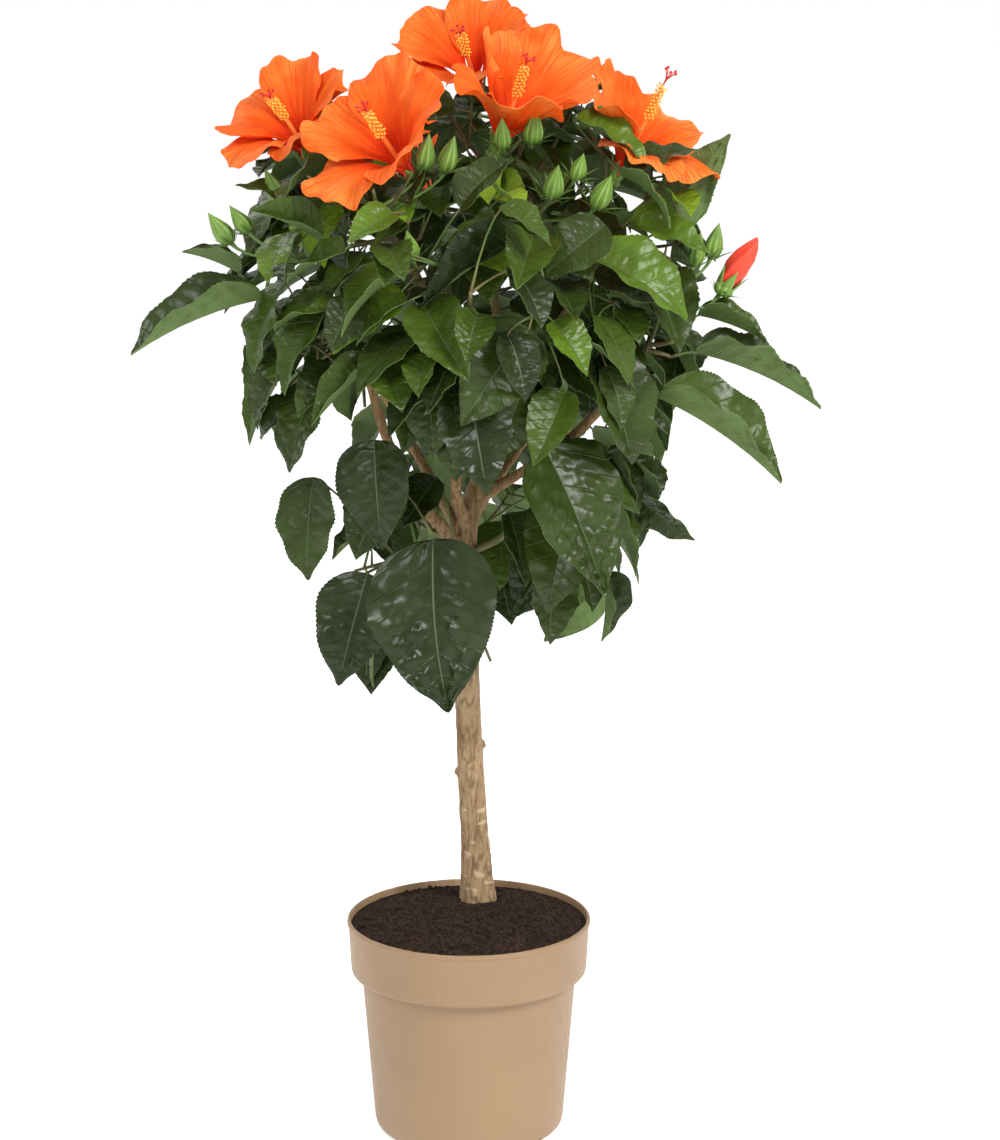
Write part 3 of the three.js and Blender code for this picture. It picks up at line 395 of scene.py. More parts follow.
def heave(x, y):
    """How far the surface stands above the settled height, from wide swells down to grit."""
    p = Vector((x, y, 0))
    return 1.3 * noise.noise(p / 21) + 0.9 * noise.noise(p / 8) + 0.8 * noise.noise(p / 3.1) - 1.2


bed_rings, bed_steps, bed_gap = 56, 220, 0.4
bed_radii = [rim_inside * (1 - k / bed_rings) for k in range(bed_rings, -1, -1)]
bed_section = [(r, bed_height(r)) for r in bed_radii]
bed = spun([(r * mm, z * mm) for r, z in bed_section + inner_line(bed_gap)], bed_steps)
for v in bed.verts:
    x, y, z = v.co / mm
    if z > compost_edge - 1 and math.hypot(x, y) < rim_inside - 0.5:
        v.co.z += heave(x, y) * mm
bed_mesh = mesh_of("compost_bed", bed)
print("compost bed radius", round(rim_inside, 1))

# %% Compost: crumbs
chance = np.random.default_rng(5)
crumb_count, crumb_ceiling, big_share, big_factor = 3600, 177.2, 0.09, 2.2


def unit_ball():
    ball = bmesh.new()
    bmesh.ops.create_icosphere(ball, subdivisions=1, radius=1)
    return arrays_of(ball)


ball_points, ball_faces = unit_ball()
crumbs = []
for _ in range(crumb_count):
    distance = rim_inside * math.sqrt(chance.uniform(0, 0.96))
    turn = chance.uniform(0, 2 * math.pi)
    x, y = distance * math.cos(turn), distance * math.sin(turn)
    size = chance.uniform(0.4, 1.15) * (big_factor if chance.random() < big_share else 1.0)
    rough = ball_points * chance.uniform(0.6, 1.15, (len(ball_points), 1)) * chance.uniform(0.6, 1.3, 3)
    z = bed_height(distance) + heave(x, y)
    crumbs.append((rough * size + (x, y, min(z + 0.2 * size, crumb_ceiling)), ball_faces))
crumb_mesh = mesh_from("compost_crumbs", *stamp(crumbs))

# %% [markdown]
# ## Compost finish
# Damp peat is a near-black brown, drier on the crumbs that stand proud, with reddish fibres in it. The colour
# goes from noise at three sizes, and nothing shines.

# %% Compost: finish
peat = Recipe("damp_peat")
at = peat.where()
wide, fine = peat.noise(at, 90, detail=5), peat.noise(at, 420, detail=5, roughness=0.75)
earth = peat.over((0.017, 0.0095, 0.0065), (0.034, 0.019, 0.012), wide, 0.3, 0.7)
earth = peat.over(earth, (0.100, 0.055, 0.034), fine, 0.50, 0.66, 0.8)
fibres = peat.noise(peat.stretch(at, (1, 1, 0.2)), 1500, detail=1)
earth = peat.over(earth, (0.19, 0.08, 0.045), fibres, 0.66, 0.74, 0.6)
peat_material = peat.finish(Base_Color=earth, Roughness=0.92, Specular_IOR_Level=0.2,
                            Normal=peat.bump(fine, 1.0, 0.0022))
bed_mesh.materials.append(peat_material)
crumb_mesh.materials.append(peat_material)
new_piece("compost_bed", bed_mesh, ["compost"])
new_piece("compost_crumbs", crumb_mesh, smooth=False)

# %% [markdown]
# ## How the plant grows
# The trunk and boughs are smooth lines that taper. Each bough ends in one mass of foliage: a stem, the shoots
# that part at its end, and the leaves, buds and blooms that they bear. A list holds the forms that give this
# plant its likeness, and one seeded rule grows the rest: each leaf tries a few ways to hang at its place on
# the crown and keeps the first that touches nothing. The same rule, with the same numbers, made the solids
# of the frame, so the leaves stand where the frame has them.

# %% Limbs, stubs and leaf forms
# Each limb: x, y, z and radius at points along it.
limbs = {
    "trunk": [(7.5, 32.5, 163, 13.4), (4.5, 30, 225, 11), (1, 25, 290, 10.6), (-1, 21, 345, 9.9),
        (-1, 17, 420, 9.2), (0, 13, 480, 8.4), (11, 10, 522, 7.4), (25, 5, 568, 6), (40, 0, 612, 5),
        (56, -5, 652, 4.3), (64, -6, 684, 3.6)],
    "bough_left": [(-1, 15, 452, 5.4), (-20, -2, 482, 5), (-44, -18, 514, 4.5), (-62, -28, 560, 4),
        (-74, -36, 606, 3.5)],
    "bough_upper_left": [(0, 13, 478, 4.6), (-9, -12, 510, 4.2), (-7, -38, 556, 3.7), (-10, -52, 606, 3.3),
        (-24, -58, 656, 3.1), (-38, -60, 686, 2.9)],
    "bough_front": [(9, 10, 516, 4), (24, -16, 545, 3.7), (27, -44, 580, 3.4), (18, -62, 608, 3.1)],
    "bough_right": [(5, 12, 500, 4.6), (44, 0, 526, 4.1), (84, -18, 560, 3.7), (118, -34, 598, 3.3)],
    "bough_upper_right": [(36, 2, 596, 4), (66, 12, 632, 3.7), (88, 15, 664, 3.4), (100, 12, 690, 3.1)],
    "bough_back_left": [(-1, 15, 464, 4.8), (-24, 38, 502, 4.3), (-50, 60, 545, 3.8), (-72, 72, 584, 3.3)],
    "bough_back_right": [(3, 13, 488, 4.6), (28, 36, 520, 4.2), (54, 58, 555, 3.7), (75, 74, 590, 3.3)],
    "bough_back_top": [(22, 6, 556, 4.2), (26, 28, 600, 3.8), (20, 48, 650, 3.4), (12, 60, 694, 3)],
}
# Each cut stub: its height, bearing and reach.
stubs = [(299, 0, 13.5), (276, 176, 13.5), (186, -30, 14.5)]
# How a leaf is folded along its midrib and how far it bends from foot to tip, in degrees.
forms = {"open": (10, 26), "cupped": (28, 34), "folded": (52, 22)}


print("limbs", len(limbs))


# %% Masses of foliage
def tuft(name, limb, hub, heart, seed, shoots, show=(), buds=(), blooms=(), **more):
    """A mass on its limb: the hub is where its shoots part, the heart is the middle of its space.

    Rows of show are the leaves that give the outline: form, bearing, height and reach of the leaf's foot, its
    turn and hang, its length and width, and its roll. Buds are the place of the tip and the size. Blooms are
    the place of the foot, the way it faces, the length of a petal, the flare and the turn.
    """
    return {"name": name, "limb": limb, "hub": hub, "heart": heart, "seed": seed, "shoots": shoots,
            "show": show, "buds": buds, "blooms": blooms, **more}


masses = [
    tuft("foliage_skirt_left", "trunk", (-34, -42, 476), (-50, -88, 468), 11, 5, start=(-1, 16, 440),
         show=[("open", -104, 494, 102, 44, 80, 130, 98, 0), ("open", -134, 463, 106, -16, 73, 88, 62, -30),
               ("open", -140, 442, 78, -10, 80, 74, 46, 25), ("folded", -141, 494, 95, -22, 40, 36, 24, 0),
               ("open", -127, 566, 112, 59, 79, 82, 64, 0), ("open", -155, 531, 126, 49, 79, 78, 54, -20),
               ("open", -129, 447, 82, -20, 73, 84, 52, -30)]),
    tuft("foliage_skirt_right", "trunk", (48, -36, 502), (92, -78, 490), 23, 5, start=(0, 15, 458),
         show=[("open", -63, 564, 126, 40, 66, 116, 90, 0), ("open", -42, 489, 93, -116, 59, 70, 52, 0),
               ("open", -8, 437, 102, -159, 42, 60, 38, 150), ("folded", -30, 461, 120, -91, 82, 54, 40, 0),
               ("open", -14, 516, 126, 7, 37, 62, 36, 128), ("open", -46, 540, 84, -60, 64, 68, 46, 0)]),
    tuft("foliage_left", "bough_left", (-104, -52, 636), (-150, -55, 605), 37, 6,
         show=[("folded", -158, 666, 161, -11, 22, 106, 60, 0),
               ("folded", -173, 679, 170, 1, -21, 46, 30, 0), ("cupped", -135, 671, 135, -25, 61, 80, 58, 0),
               ("open", -147, 607, 130, 2, 69, 72, 62, 0), ("folded", -121, 628, 128, -44, 44, 66, 40, 0)]),
    tuft("foliage_front", "bough_front", (2, -86, 646), (-5, -118, 640), 41, 7,
         show=[("open", -70, 661, 133, -85, 54, 68, 50, 0), ("open", -71, 613, 129, -79, 62, 62, 48, 0),
               ("open", -103, 613, 125, 36, 78, 54, 40, 0), ("open", -93, 598, 112, -6, 81, 58, 42, 0),
               ("folded", -71, 719, 125, -98, 34, 90, 56, 0), ("open", -111, 680, 127, -55, 41, 68, 46, 0),
               ("open", -51, 728, 158, -117, 39, 60, 44, 0), ("cupped", -92, 739, 118, 89, -43, 52, 34, 0)],
         buds=[(-42, -126, 724, 0.9)]),
    tuft("foliage_right", "bough_right", (132, -44, 628), (145, -70, 610), 53, 6,
         show=[("cupped", -50, 703, 137, 45, 33, 86, 64, 0), ("folded", -11, 650, 174, 4, 21, 56, 36, 0),
               ("folded", -13, 623, 173, 8, 24, 104, 56, 0), ("folded", -27, 595, 157, 17, 34, 112, 72, 0),
               ("cupped", -41, 595, 130, 32, 26, 56, 42, 0)],
         buds=[(172, -38, 711, 1), (186, -32, 717, 1.05), (214, -32, 706, 2)]),
    tuft("foliage_top_left", "bough_upper_left", (-62, -64, 722), (-95, -60, 755), 67, 6,
         show=[("folded", -133, 715, 152, -40, -24, 54, 40, 0),
               ("open", -149, 734, 122, -25, -14, 66, 36, 0),
               ("cupped", -126, 696, 146, 82, -83, 44, 24, 0)],
         buds=[(-188, -60, 728, 1.1), (-172, -64, 734, 0.95), (-146, -64, 760, 1.2), (-26, -104, 790, 1.05),
               (-8, -100, 788, 1.1)],
         blooms=[((-34, -84, 752), (-0.51, -0.5, 0.7), 77, 76, 41),
                 ((-112, -20, 756), (-0.42, -0.3, 0.86), 64, 84, 50)]),
    tuft("foliage_top", "trunk", (32, -12, 744), (22, 2, 792), 71, 7,
         buds=[(26, -88, 800, 1), (50, -84, 806, 1.1), (66, -108, 768, 1.15), (84, -104, 776, 0.9),
               (104, -100, 760, 1.2)],
         blooms=[((18, -48, 764), (0.35, -0.25, 0.9), 82, 58, 12),
                 ((10, 25, 800), (-0.22, -0.5, 0.84), 66, 78, 22)]),
    tuft("foliage_top_right", "bough_upper_right", (112, 6, 712), (145, 8, 742), 83, 6,
         show=[("open", -12, 708, 142, 8, -54, 94, 40, 170), ("cupped", -38, 796, 98, 24, 30, 66, 42, 0),
               ("open", -21, 758, 124, 26, -14, 58, 38, 0), ("cupped", 17, 804, 88, -10, -12, 44, 34, 0)],
         blooms=[((105, -10, 742), (0.48, -0.23, 0.85), 73, 84, 0)]),
    tuft("foliage_back_left", "bough_back_left", (-92, 88, 604), (-115, 105, 600), 97, 6),
    tuft("foliage_back_right", "bough_back_right", (92, 92, 612), (105, 115, 610), 101, 6),
    tuft("foliage_back_low", "trunk", (4, 58, 476), (5, 85, 465), 113, 5, start=(0, 16, 428)),
    tuft("foliage_back_top", "bough_back_top", (6, 84, 722), (0, 120, 745), 127, 6,
         buds=[(52, 124, 812, 1.1), (64, 138, 806, 0.95)],
         blooms=[((-42, 118, 722), (-0.3, 0.78, 0.55), 70, 78, 30)]),
]
print("masses", len(masses))

# %% Small helpers for the rule
up = np.array((0.0, 0.0, 1.0))
golden_turn = 137.5


def vec(*xyz):
    return np.array(xyz, float)


def unit(v):
    return v / np.linalg.norm(v)


def mixed(a, b, t):
    return a + (b - a) * t


def turned(v, axis, angle):
    """v turned about a unit axis, in radians."""
    c, s = math.cos(angle), math.sin(angle)
    return v * c + np.cross(axis, v) * s + axis * (axis @ v) * (1 - c)


def pointing(bearing, hang=0):
    """The way of a bearing that hangs so far below level, both in degrees."""
    heading, slope = math.radians(bearing), math.radians(hang)
    return vec(math.cos(heading) * math.cos(slope), math.sin(heading) * math.cos(slope), -math.sin(slope))


def beside(way):
    """Some way square to this one."""
    return unit(np.cross(way, up + vec(0.01, 0.02, 0)))


def make_random(seed):
    """One repeatable stream of numbers from 0 to 1."""
    state = [seed]

    def draw():
        state[0] = (state[0] * 1664525 + 1013904223) & 0xFFFFFFFF
        return state[0] / 4294967296
    return draw


def spline_piece(points, at):
    """For a share of a line, counted in points: the four points round it, and the share past the second."""
    points = np.asarray(points, float)
    last = len(points) - 1
    k = min(int(at * last), last - 1)
    before = points[k - 1] if k > 0 else 2 * points[0] - points[1]
    after = points[k + 2] if k + 2 <= last else 2 * points[-1] - points[-2]
    return before, points[k], points[k + 1], after, at * last - k


def eased(a, b, t0, t1, t):
    """From a to b, setting out along t0 and coming in along t1."""
    return ((2 * t ** 3 - 3 * t ** 2 + 1) * a + (t ** 3 - 2 * t ** 2 + t) * t0
            + (3 * t ** 2 - 2 * t ** 3) * b + (t ** 3 - t ** 2) * t1)


def uniform_spline(points, at, tension=0.5):
    """A smooth line through the points."""
    before, a, b, after, t = spline_piece(points, at)
    return eased(a, b, tension * (b - before), tension * (after - a), t)


def centripetal_spline(points, at):
    """The same for points at uneven distances: it never loops back between two close ones."""
    before, a, b, after, t = spline_piece(points, at)
    d0, d1, d2 = (np.linalg.norm(q - p) ** 0.5 for p, q in ((before, a), (a, b), (b, after)))
    d1 = 1.0 if d1 < 1e-4 else d1
    d0, d2 = (d1 if d < 1e-4 else d for d in (d0, d2))
    return eased(a, b, ((a - before) / d0 - (b - before) / (d0 + d1) + (b - a) / d1) * d1,
                 ((b - a) / d1 - (after - a) / (d1 + d2) + (after - b) / d2) * d1, t)


def quadratic(a, b, c, t):
    return (1 - t) ** 2 * a + 2 * t * (1 - t) * b + t * t * c


def limb_run(limb, steps):
    """Points and radii along a limb."""
    line, radii = np.array(limb, float)[:, :3], [row[3] for row in limb]
    points, thick = [], []
    for i in range(steps + 1):
        at = (i / steps) * (len(radii) - 1)
        k = min(int(at), len(radii) - 2)
        points.append(uniform_spline(line, i / steps))
        thick.append(mixed(radii[k], radii[k + 1], at - k))
    return np.array(points), np.array(thick)


trunk_steps, bough_steps = 15, 6
runs = {name: limb_run(limb, trunk_steps if name == "trunk" else bough_steps) for name, limb in limbs.items()}
print("trunk tip", runs["trunk"][0][-1].round(1))

# %% The space of each mass
crown_profile = [(92, 350), (126, 430), (148, 500), (166, 560), (178, 640), (190, 700), (182, 750),
                 (150, 788), (92, 808), (0, 816)]
crown_heart, crown_widest, wall_gap = vec(0, 0, 600), 700, clear_gap + 0.2
for mass in masses:
    heart = vec(*mass["heart"])
    others = [vec(*other["heart"]) - heart for other in masses if other is not mass]
    mass["aways"] = np.array([unit(away) for away in others])
    halfway = np.array([np.linalg.norm(away) / 2 - wall_gap for away in others])
    mass["limits"] = mass["aways"] @ heart + halfway
hearts = np.array([mass["heart"] for mass in masses], float)


def crown_radius(height):
    above = max(1, next((k for k, (_, z) in enumerate(crown_profile) if z >= height), -1))
    (r0, z0), (r1, z1) = crown_profile[above - 1], crown_profile[above]
    return 0 if height > crown_profile[-1][1] else r0 + (r1 - r0) * (height - z0) / (z1 - z0)


def crown_site(share):
    """Radius and height at a share of the crown's surface, from its foot."""
    bands = [(r0, z0, r1, z1, (r0 + r1) * math.hypot(r1 - r0, z1 - z0))
             for (r0, z0), (r1, z1) in zip(crown_profile, crown_profile[1:])]
    left = share * sum(band[4] for band in bands)
    for r0, z0, r1, z1, area in bands:
        left -= area
        if left <= 0:
            break
    t = 1 + left / area
    return mixed(r0, r1, t), mixed(z0, z1, t)


def past_walls(mass, p):
    """How far points stand past the walls halfway to the other masses."""
    return (p @ mass["aways"].T - mass["limits"]).max(-1)


def past_crown(p):
    """How far one point stands out of the crown's profile."""
    radius = math.hypot(p[0], p[1])
    sideways = radius - crown_radius(p[2])
    if p[2] < crown_widest:
        return sideways
    k = next((k for k, (r, z) in enumerate(crown_profile) if z > crown_widest and r <= radius), -1)
    if k < 1:
        return sideways
    (r0, z0), (r1, z1) = crown_profile[k - 1], crown_profile[k]
    return min(sideways, p[2] - (z0 + (z1 - z0) * (radius - r0) / (r1 - r0)))


print("crown radius at 600 mm", round(crown_radius(600), 1))

# %% Stems and shoots
shoot_steps, shoot_least, shoot_most, shoot_widest, shoot_growth = 3, 22, 96, 100, 4
wall_margin, crown_margin = 14, 26
stem_radius, shoot_radius, petiole_radius, stem_share, loose_turn = 3.0, 2.1, 0.95, 0.5, 40


def elbow_of(foot, tip):
    """A shoot sets out sideways, then rises."""
    return vec(mixed(foot[0], tip[0], 0.6), mixed(foot[1], tip[1], 0.6), mixed(foot[2], tip[2], 0.35))


def shoot_line(foot, tip):
    elbow = elbow_of(foot, tip)
    return np.array([quadratic(foot, elbow, tip, i / shoot_steps) for i in range(shoot_steps + 1)])


def shoot_lines(mass, draw):
    """Shoots that fan out from the end of a stem, each as long as its space lets it be."""
    facing = unit(mass["hub_point"] - crown_heart)
    side = unit(np.cross(facing, up))
    other = np.cross(facing, side)
    lines = []
    for k in range(mass["shoots"]):
        off = math.radians(shoot_widest * math.sqrt(k / mass["shoots"]))
        round_turn = math.radians(golden_turn * k + loose_turn * draw())
        sideways = side * math.cos(round_turn) + other * math.sin(round_turn)
        way = sideways * math.sin(off) + facing * math.cos(off)
        foot = centripetal_spline(mass["stem_line"], 1 - stem_share * k / mass["shoots"])
        reach = shoot_least
        while reach < shoot_most:
            p = foot + way * (reach + shoot_growth)
            if past_walls(mass, p) >= -wall_margin or past_crown(p) >= -crown_margin:
                break
            reach += shoot_growth
        lines.append(shoot_line(foot, foot + way * reach))
    return lines


# Every stem, shoot and stalk so far as straight pieces: whose it is, its two ends and its radius.
rods = {"owner": [], "a": [], "b": [], "radius": []}


def add_rods(owner, points, radii):
    for a, b, r0, r1 in zip(points, points[1:], radii, radii[1:]):
        for key, value in (("owner", owner), ("a", a), ("b", b), ("radius", max(r0, r1))):
            rods[key].append(value)


for name, (points, radii) in runs.items():
    add_rods(name, points, radii)
for mass in masses:
    points = runs[mass["limb"]][0]
    tip, ahead = points[-1], unit(points[-1] - points[-2])
    mass["hub_point"] = vec(*mass["hub"])
    if "start" in mass:
        foot = vec(*mass["start"])
        elbow, stations = elbow_of(foot, mass["hub_point"]), (0, 0.35, 0.7, 1)
    else:
        foot = tip + ahead * clear_gap
        elbow = foot + ahead * np.linalg.norm(foot - mass["hub_point"]) / 2
        stations = (0, 0.12, 0.55, 1)
    mass["stem_line"] = np.array([quadratic(foot, elbow, mass["hub_point"], t) for t in stations])
    add_rods(mass["name"], mass["stem_line"], [stem_radius] * 4)
    mass["shoot_lines"] = shoot_lines(mass, make_random(mass["seed"]))
    for line in mass["shoot_lines"]:
        add_rods(mass["name"], line, [shoot_radius] * 4)
print("rods", len(rods["a"]))

# %% Stalks that run free
root_steps, first_root, root_span, shortest_stalk, sharpest = 8, 0.12, 0.86, 6, -0.7


def rods_as_arrays():
    return {key: np.array(values) for key, values in rods.items()}


def point_to_lines(p, a, b):
    """Distance from points (n, 3) to straight pieces (m, 3), as n by m."""
    d = b - a
    t = np.clip(((p[:, None] - a) * d).sum(-1) / np.maximum((d * d).sum(-1), 1e-12), 0, 1)
    return np.linalg.norm(p[:, None] - (a + t[..., None] * d), axis=-1)


def lines_apart(a, b, c, d):
    """Least distance from one straight piece a-b to many c-d."""
    from_c, from_d = (point_to_lines(end, a[None], b[None])[:, 0] for end in (c, d))
    ends = np.minimum(point_to_lines(np.array((a, b)), c, d).min(0), np.minimum(from_c, from_d))
    u, v, w = b - a, d - c, c - a
    n = np.cross(u, v)
    square = (n * n).sum(-1)
    safe = np.maximum(square, 1e-9)
    s = (np.cross(w, v) * n).sum(-1) / safe
    t = (np.cross(w, u) * n).sum(-1) / safe
    inside = (square >= 1e-9) & (s > 0) & (s < 1) & (t > 0) & (t < 1)
    return np.where(inside, np.abs((w * n).sum(-1)) / np.sqrt(safe), ends)


def stalk_blocked(mass, root, foot, rod_arrays):
    other = rod_arrays["owner"] != mass["name"]
    near = lines_apart(root, foot, rod_arrays["a"][other], rod_arrays["b"][other])
    return bool((near < rod_arrays["radius"][other] + petiole_radius + 2 * clear_gap).any())


def roots_of(mass):
    """Points of a mass's shoots that a stalk could spring from."""
    if "root_points" not in mass:
        points = []
        for line in mass["shoot_lines"]:
            for j in range(root_steps):
                at = (first_root + root_span * j / (root_steps - 1)) * shoot_steps
                i = min(int(at), shoot_steps - 1)
                points.append(mixed(line[i], line[i + 1], at - i))
        mass["root_points"] = np.array(points)
    return mass["root_points"]


def free_root(mass, foot, way, rod_arrays, longest=math.inf):
    """The nearest point that a stalk could reach this foot from without touching another mass."""
    points = roots_of(mass)
    lengths = np.linalg.norm(points - foot, axis=1)
    for k in np.argsort(lengths, kind="stable"):
        length = lengths[k]
        if not shortest_stalk <= length <= longest or (foot - points[k]) @ way <= sharpest * length:
            continue
        if not stalk_blocked(mass, points[k], foot, rod_arrays):
            return points[k]
    return None


bloom_balls = []
bud_length, bud_radius, fattest_bud, bloom_middle, bloom_share = 25, 7, 1.25, 0.76, 0.62
# A bud leans to the sky, and one that is about to open less so.
bud_rise, opening_bud_rise, opening_bud = 1.3, 0.4, 1.5
for mass in masses:
    mass["bud_parts"], mass["bloom_parts"] = [], []
    for x, y, z, size in mass["buds"]:
        tip = vec(x, y, z)
        rise = bud_rise if size < opening_bud else opening_bud_rise
        lean = unit(unit(tip - mass["hub_point"]) + vec(0, 0, rise))
        foot = tip - lean * bud_length * size
        root = free_root(mass, foot, lean, rods_as_arrays())
        add_rods(mass["name"], [root, foot], [petiole_radius] * 2)
        fat = bud_radius * min(size, fattest_bud)
        add_rods(mass["name"], [foot, tip], [fat, fat])
        mass["bud_parts"].append({"root": root, "foot": foot, "tip": tip, "fat": fat, "size": size})
    for foot, faces, petal, flare, turn in mass["blooms"]:
        foot, faces = vec(*foot), unit(vec(*faces))
        root = free_root(mass, foot, faces, rods_as_arrays())
        add_rods(mass["name"], [root, foot], [petiole_radius] * 2)
        bloom_balls.append((*(foot + faces * petal * bloom_middle), petal * bloom_share))
        mass["bloom_parts"].append({"foot": foot, "faces": faces, "petal": petal, "flare": flare,
                                    "turn": turn, "root": root})
rod_arrays = rods_as_arrays()
bloom_balls = np.array(bloom_balls)
print("buds", sum(len(m["bud_parts"]) for m in masses), "blooms", len(bloom_balls))

# %% The shape of a leaf
def outline(t):
    """Half width of the blade along it, as a share of the widest."""
    t = np.clip(t, 0, 1)
    return np.sin(np.pi * t ** 0.62).clip(0) ** 0.85 * (1 - 0.28 * t ** 3)


def full_outline(t):
    """The same, with the fuller shoulders and the drawn-out tip that a blade shows close by."""
    t = np.clip(t, 0, 1)
    body = np.sin(np.pi * t ** 0.655).clip(0) ** 0.74 * (1 - 0.26 * t ** 3)
    return body * (1 - 0.24 * np.exp(-((t - 0.93) / 0.06) ** 2))


def make_leaf(foot, direction, outwards, length, width, roll, fold, bend):
    """Sets a blade: its chord runs from the foot along a direction, and its face turns up and outwards."""
    chord = unit(direction)
    wanted = outwards * 0.6 + up * 0.8
    face = turned(unit(wanted - chord * (wanted @ chord)), chord, math.radians(roll))
    return {"foot": foot, "chord": chord, "face": face, "side": np.cross(chord, face), "length": length,
            "width": width, "fold": math.radians(fold), "bend": math.radians(bend)}


def leaf_frame(leaf, t):
    """Points of the midrib at stations t, and the way that the blade's middle faces there."""
    a = leaf["bend"] * (0.5 - t)
    run = (math.sin(leaf["bend"] / 2) - np.sin(a)) / leaf["bend"] * leaf["length"]
    rise = (np.cos(a) - math.cos(leaf["bend"] / 2)) / leaf["bend"] * leaf["length"]
    normal = leaf["face"] * np.cos(a)[..., None] - leaf["chord"] * np.sin(a)[..., None]
    return leaf["foot"] + leaf["chord"] * run[..., None] + leaf["face"] * rise[..., None], normal


def leaf_point(leaf, t, s, h=0.0, shape=outline):
    """Points of the blade: t from foot to tip, s from one edge over the midrib to the other, h above it."""
    t, s = np.broadcast_arrays(np.asarray(t, float), np.asarray(s, float))
    middle, normal = leaf_frame(leaf, t)
    half = leaf["width"] / 2 * shape(t) * np.abs(s)
    sideways = np.sign(s) * half * math.cos(leaf["fold"])
    lifted = half * math.sin(leaf["fold"]) + h
    return middle + leaf["side"] * sideways[..., None] + normal * lifted[..., None]


net_t, net_s = np.meshgrid((0.02, 0.15, 0.38, 0.62, 0.84, 1), (-1, 0, 1), indexing="ij")
net_lines, net_faces = [], []
for i in range(5):
    at = 3 * i
    net_lines += [(at + k, at + 3 + k) for k in range(3)] + [(at + 3 + k, at + 4 + k) for k in range(2)]
    for k in range(2):
        net_faces += [(at + k, at + k + 1, at + 4 + k), (at + k, at + 4 + k, at + 3 + k)]
net_lines, net_faces = np.array(net_lines), np.array(net_faces)
print("leaf net points", net_t.size)

# %% Whether a leaf has room
wall_slack, crown_slack, half_reach, rod_margin = 7, 8, 0.62, 2


def crosses(lines, triangles):
    """True where any straight piece (n, 2, 3) passes through any triangle (m, 3, 3)."""
    if not len(lines) or not len(triangles):
        return False
    start, d = lines[:, None, 0], (lines[:, 1] - lines[:, 0])[:, None]
    p, e1, e2 = triangles[None, :, 0], triangles[:, 1] - triangles[:, 0], triangles[:, 2] - triangles[:, 0]
    q = np.cross(d, e2[None])
    det = (e1[None] * q).sum(-1)
    safe = np.where(np.abs(det) < 1e-12, np.inf, det)
    w = start - p
    u = (w * q).sum(-1) / safe
    r = np.cross(w, e1[None])
    v = (d * r).sum(-1) / safe
    t = (e2[None] * r).sum(-1) / safe
    return bool(((np.abs(det) >= 1e-12) & (u >= 0) & (v >= 0) & (u + v <= 1) & (t >= 0) & (t <= 1)).any())


leaves = []
leaf_centres, leaf_reaches = np.zeros((0, 3)), np.zeros(0)


# Places where the crown is open, seen from the front: x and z of the middle, then half width and height.
front_eye = vec(24.4, -2570, 1040)
openings = np.array([
    (-113, 446, 26, 21), (-111, 549, 17, 23), (-153, 529, 9, 19), (-174, 733, 15, 14),
    (-100, 479, 7, 20), (167, 550, 11, 25), (115, 418, 10, 25), (86, 402, 15, 11)])


def from_front(points):
    """Points followed from the front eye to the plane y = 0."""
    return front_eye + (points - front_eye) * (front_eye[1] / (front_eye[1] - points[..., 1:2]))


def in_opening(points):
    seen = from_front(points)[:, None, (0, 2)]
    return bool((np.abs(seen - openings[:, :2]) < openings[:, 2:]).all(-1).any())


def blocked(mass, leaf, root, strict):
    """True where the blade would touch a limb or a leaf, or, if strict, a bloom or leave its space."""
    net = leaf_point(leaf, net_t, net_s).reshape(-1, 3)
    if strict:
        if (past_walls(mass, net) > wall_slack).any() or any(past_crown(p) > crown_slack for p in net):
            return True
        if (np.linalg.norm(net[:, None] - bloom_balls[None, :, :3], axis=-1) < bloom_balls[:, 3]).any():
            return True
        if in_opening(net):
            return True
    centre, reach = leaf_point(leaf, 0.5, 0), leaf["length"] * half_reach
    triangles = net[net_faces]
    close = point_to_lines(centre[None], rod_arrays["a"], rod_arrays["b"])[0] <= reach + rod_arrays["radius"]
    foreign = rod_arrays["owner"] != mass["name"]
    pick = close if strict else close & foreign
    if crosses(np.stack((rod_arrays["a"][pick], rod_arrays["b"][pick]), 1), triangles):
        return True
    pick = close & foreign
    if pick.any() and (point_to_lines(net, rod_arrays["a"][pick], rod_arrays["b"][pick])
                       < rod_arrays["radius"][pick] + rod_margin).any():
        return True
    mine = np.concatenate((net[net_lines], [[root, leaf["foot"]]]))
    if len(leaves):
        for k in np.flatnonzero(np.linalg.norm(leaf_centres - centre, axis=1) <= reach + leaf_reaches):
            if crosses(mine, leaves[k]["triangles"]) or crosses(leaves[k]["lines"], triangles):
                return True
    leaf.update(triangles=triangles, lines=mine, centre=centre, reach=reach)
    return False


def keep_if_free(mass, leaf, way, kind, strict, longest=math.inf):
    """Keeps a leaf that finds a root and has room, and tells whether it did."""
    global leaf_centres, leaf_reaches
    root = free_root(mass, leaf["foot"], way, rod_arrays, longest)
    if root is None or blocked(mass, leaf, root, strict):
        return False
    leaf.update(root=root, kind=kind, mass=mass["name"])
    leaves.append(leaf)
    leaf_centres = np.vstack((leaf_centres, leaf["centre"]))
    leaf_reaches = np.append(leaf_reaches, leaf["reach"])
    return True


# %% First the leaves that give the outline
for mass in masses:
    for form, bearing, height, reach, turn, hang, length, width, roll in mass["show"]:
        out = pointing(bearing)
        way = pointing(bearing + turn, hang)
        foot = vec(out[0] * reach, out[1] * reach, height)
        leaf = make_leaf(foot, way, out, length, width, roll, *forms[form])
        keep_if_free(mass, leaf, way, "show", False)
print("placed leaves", len(leaves))

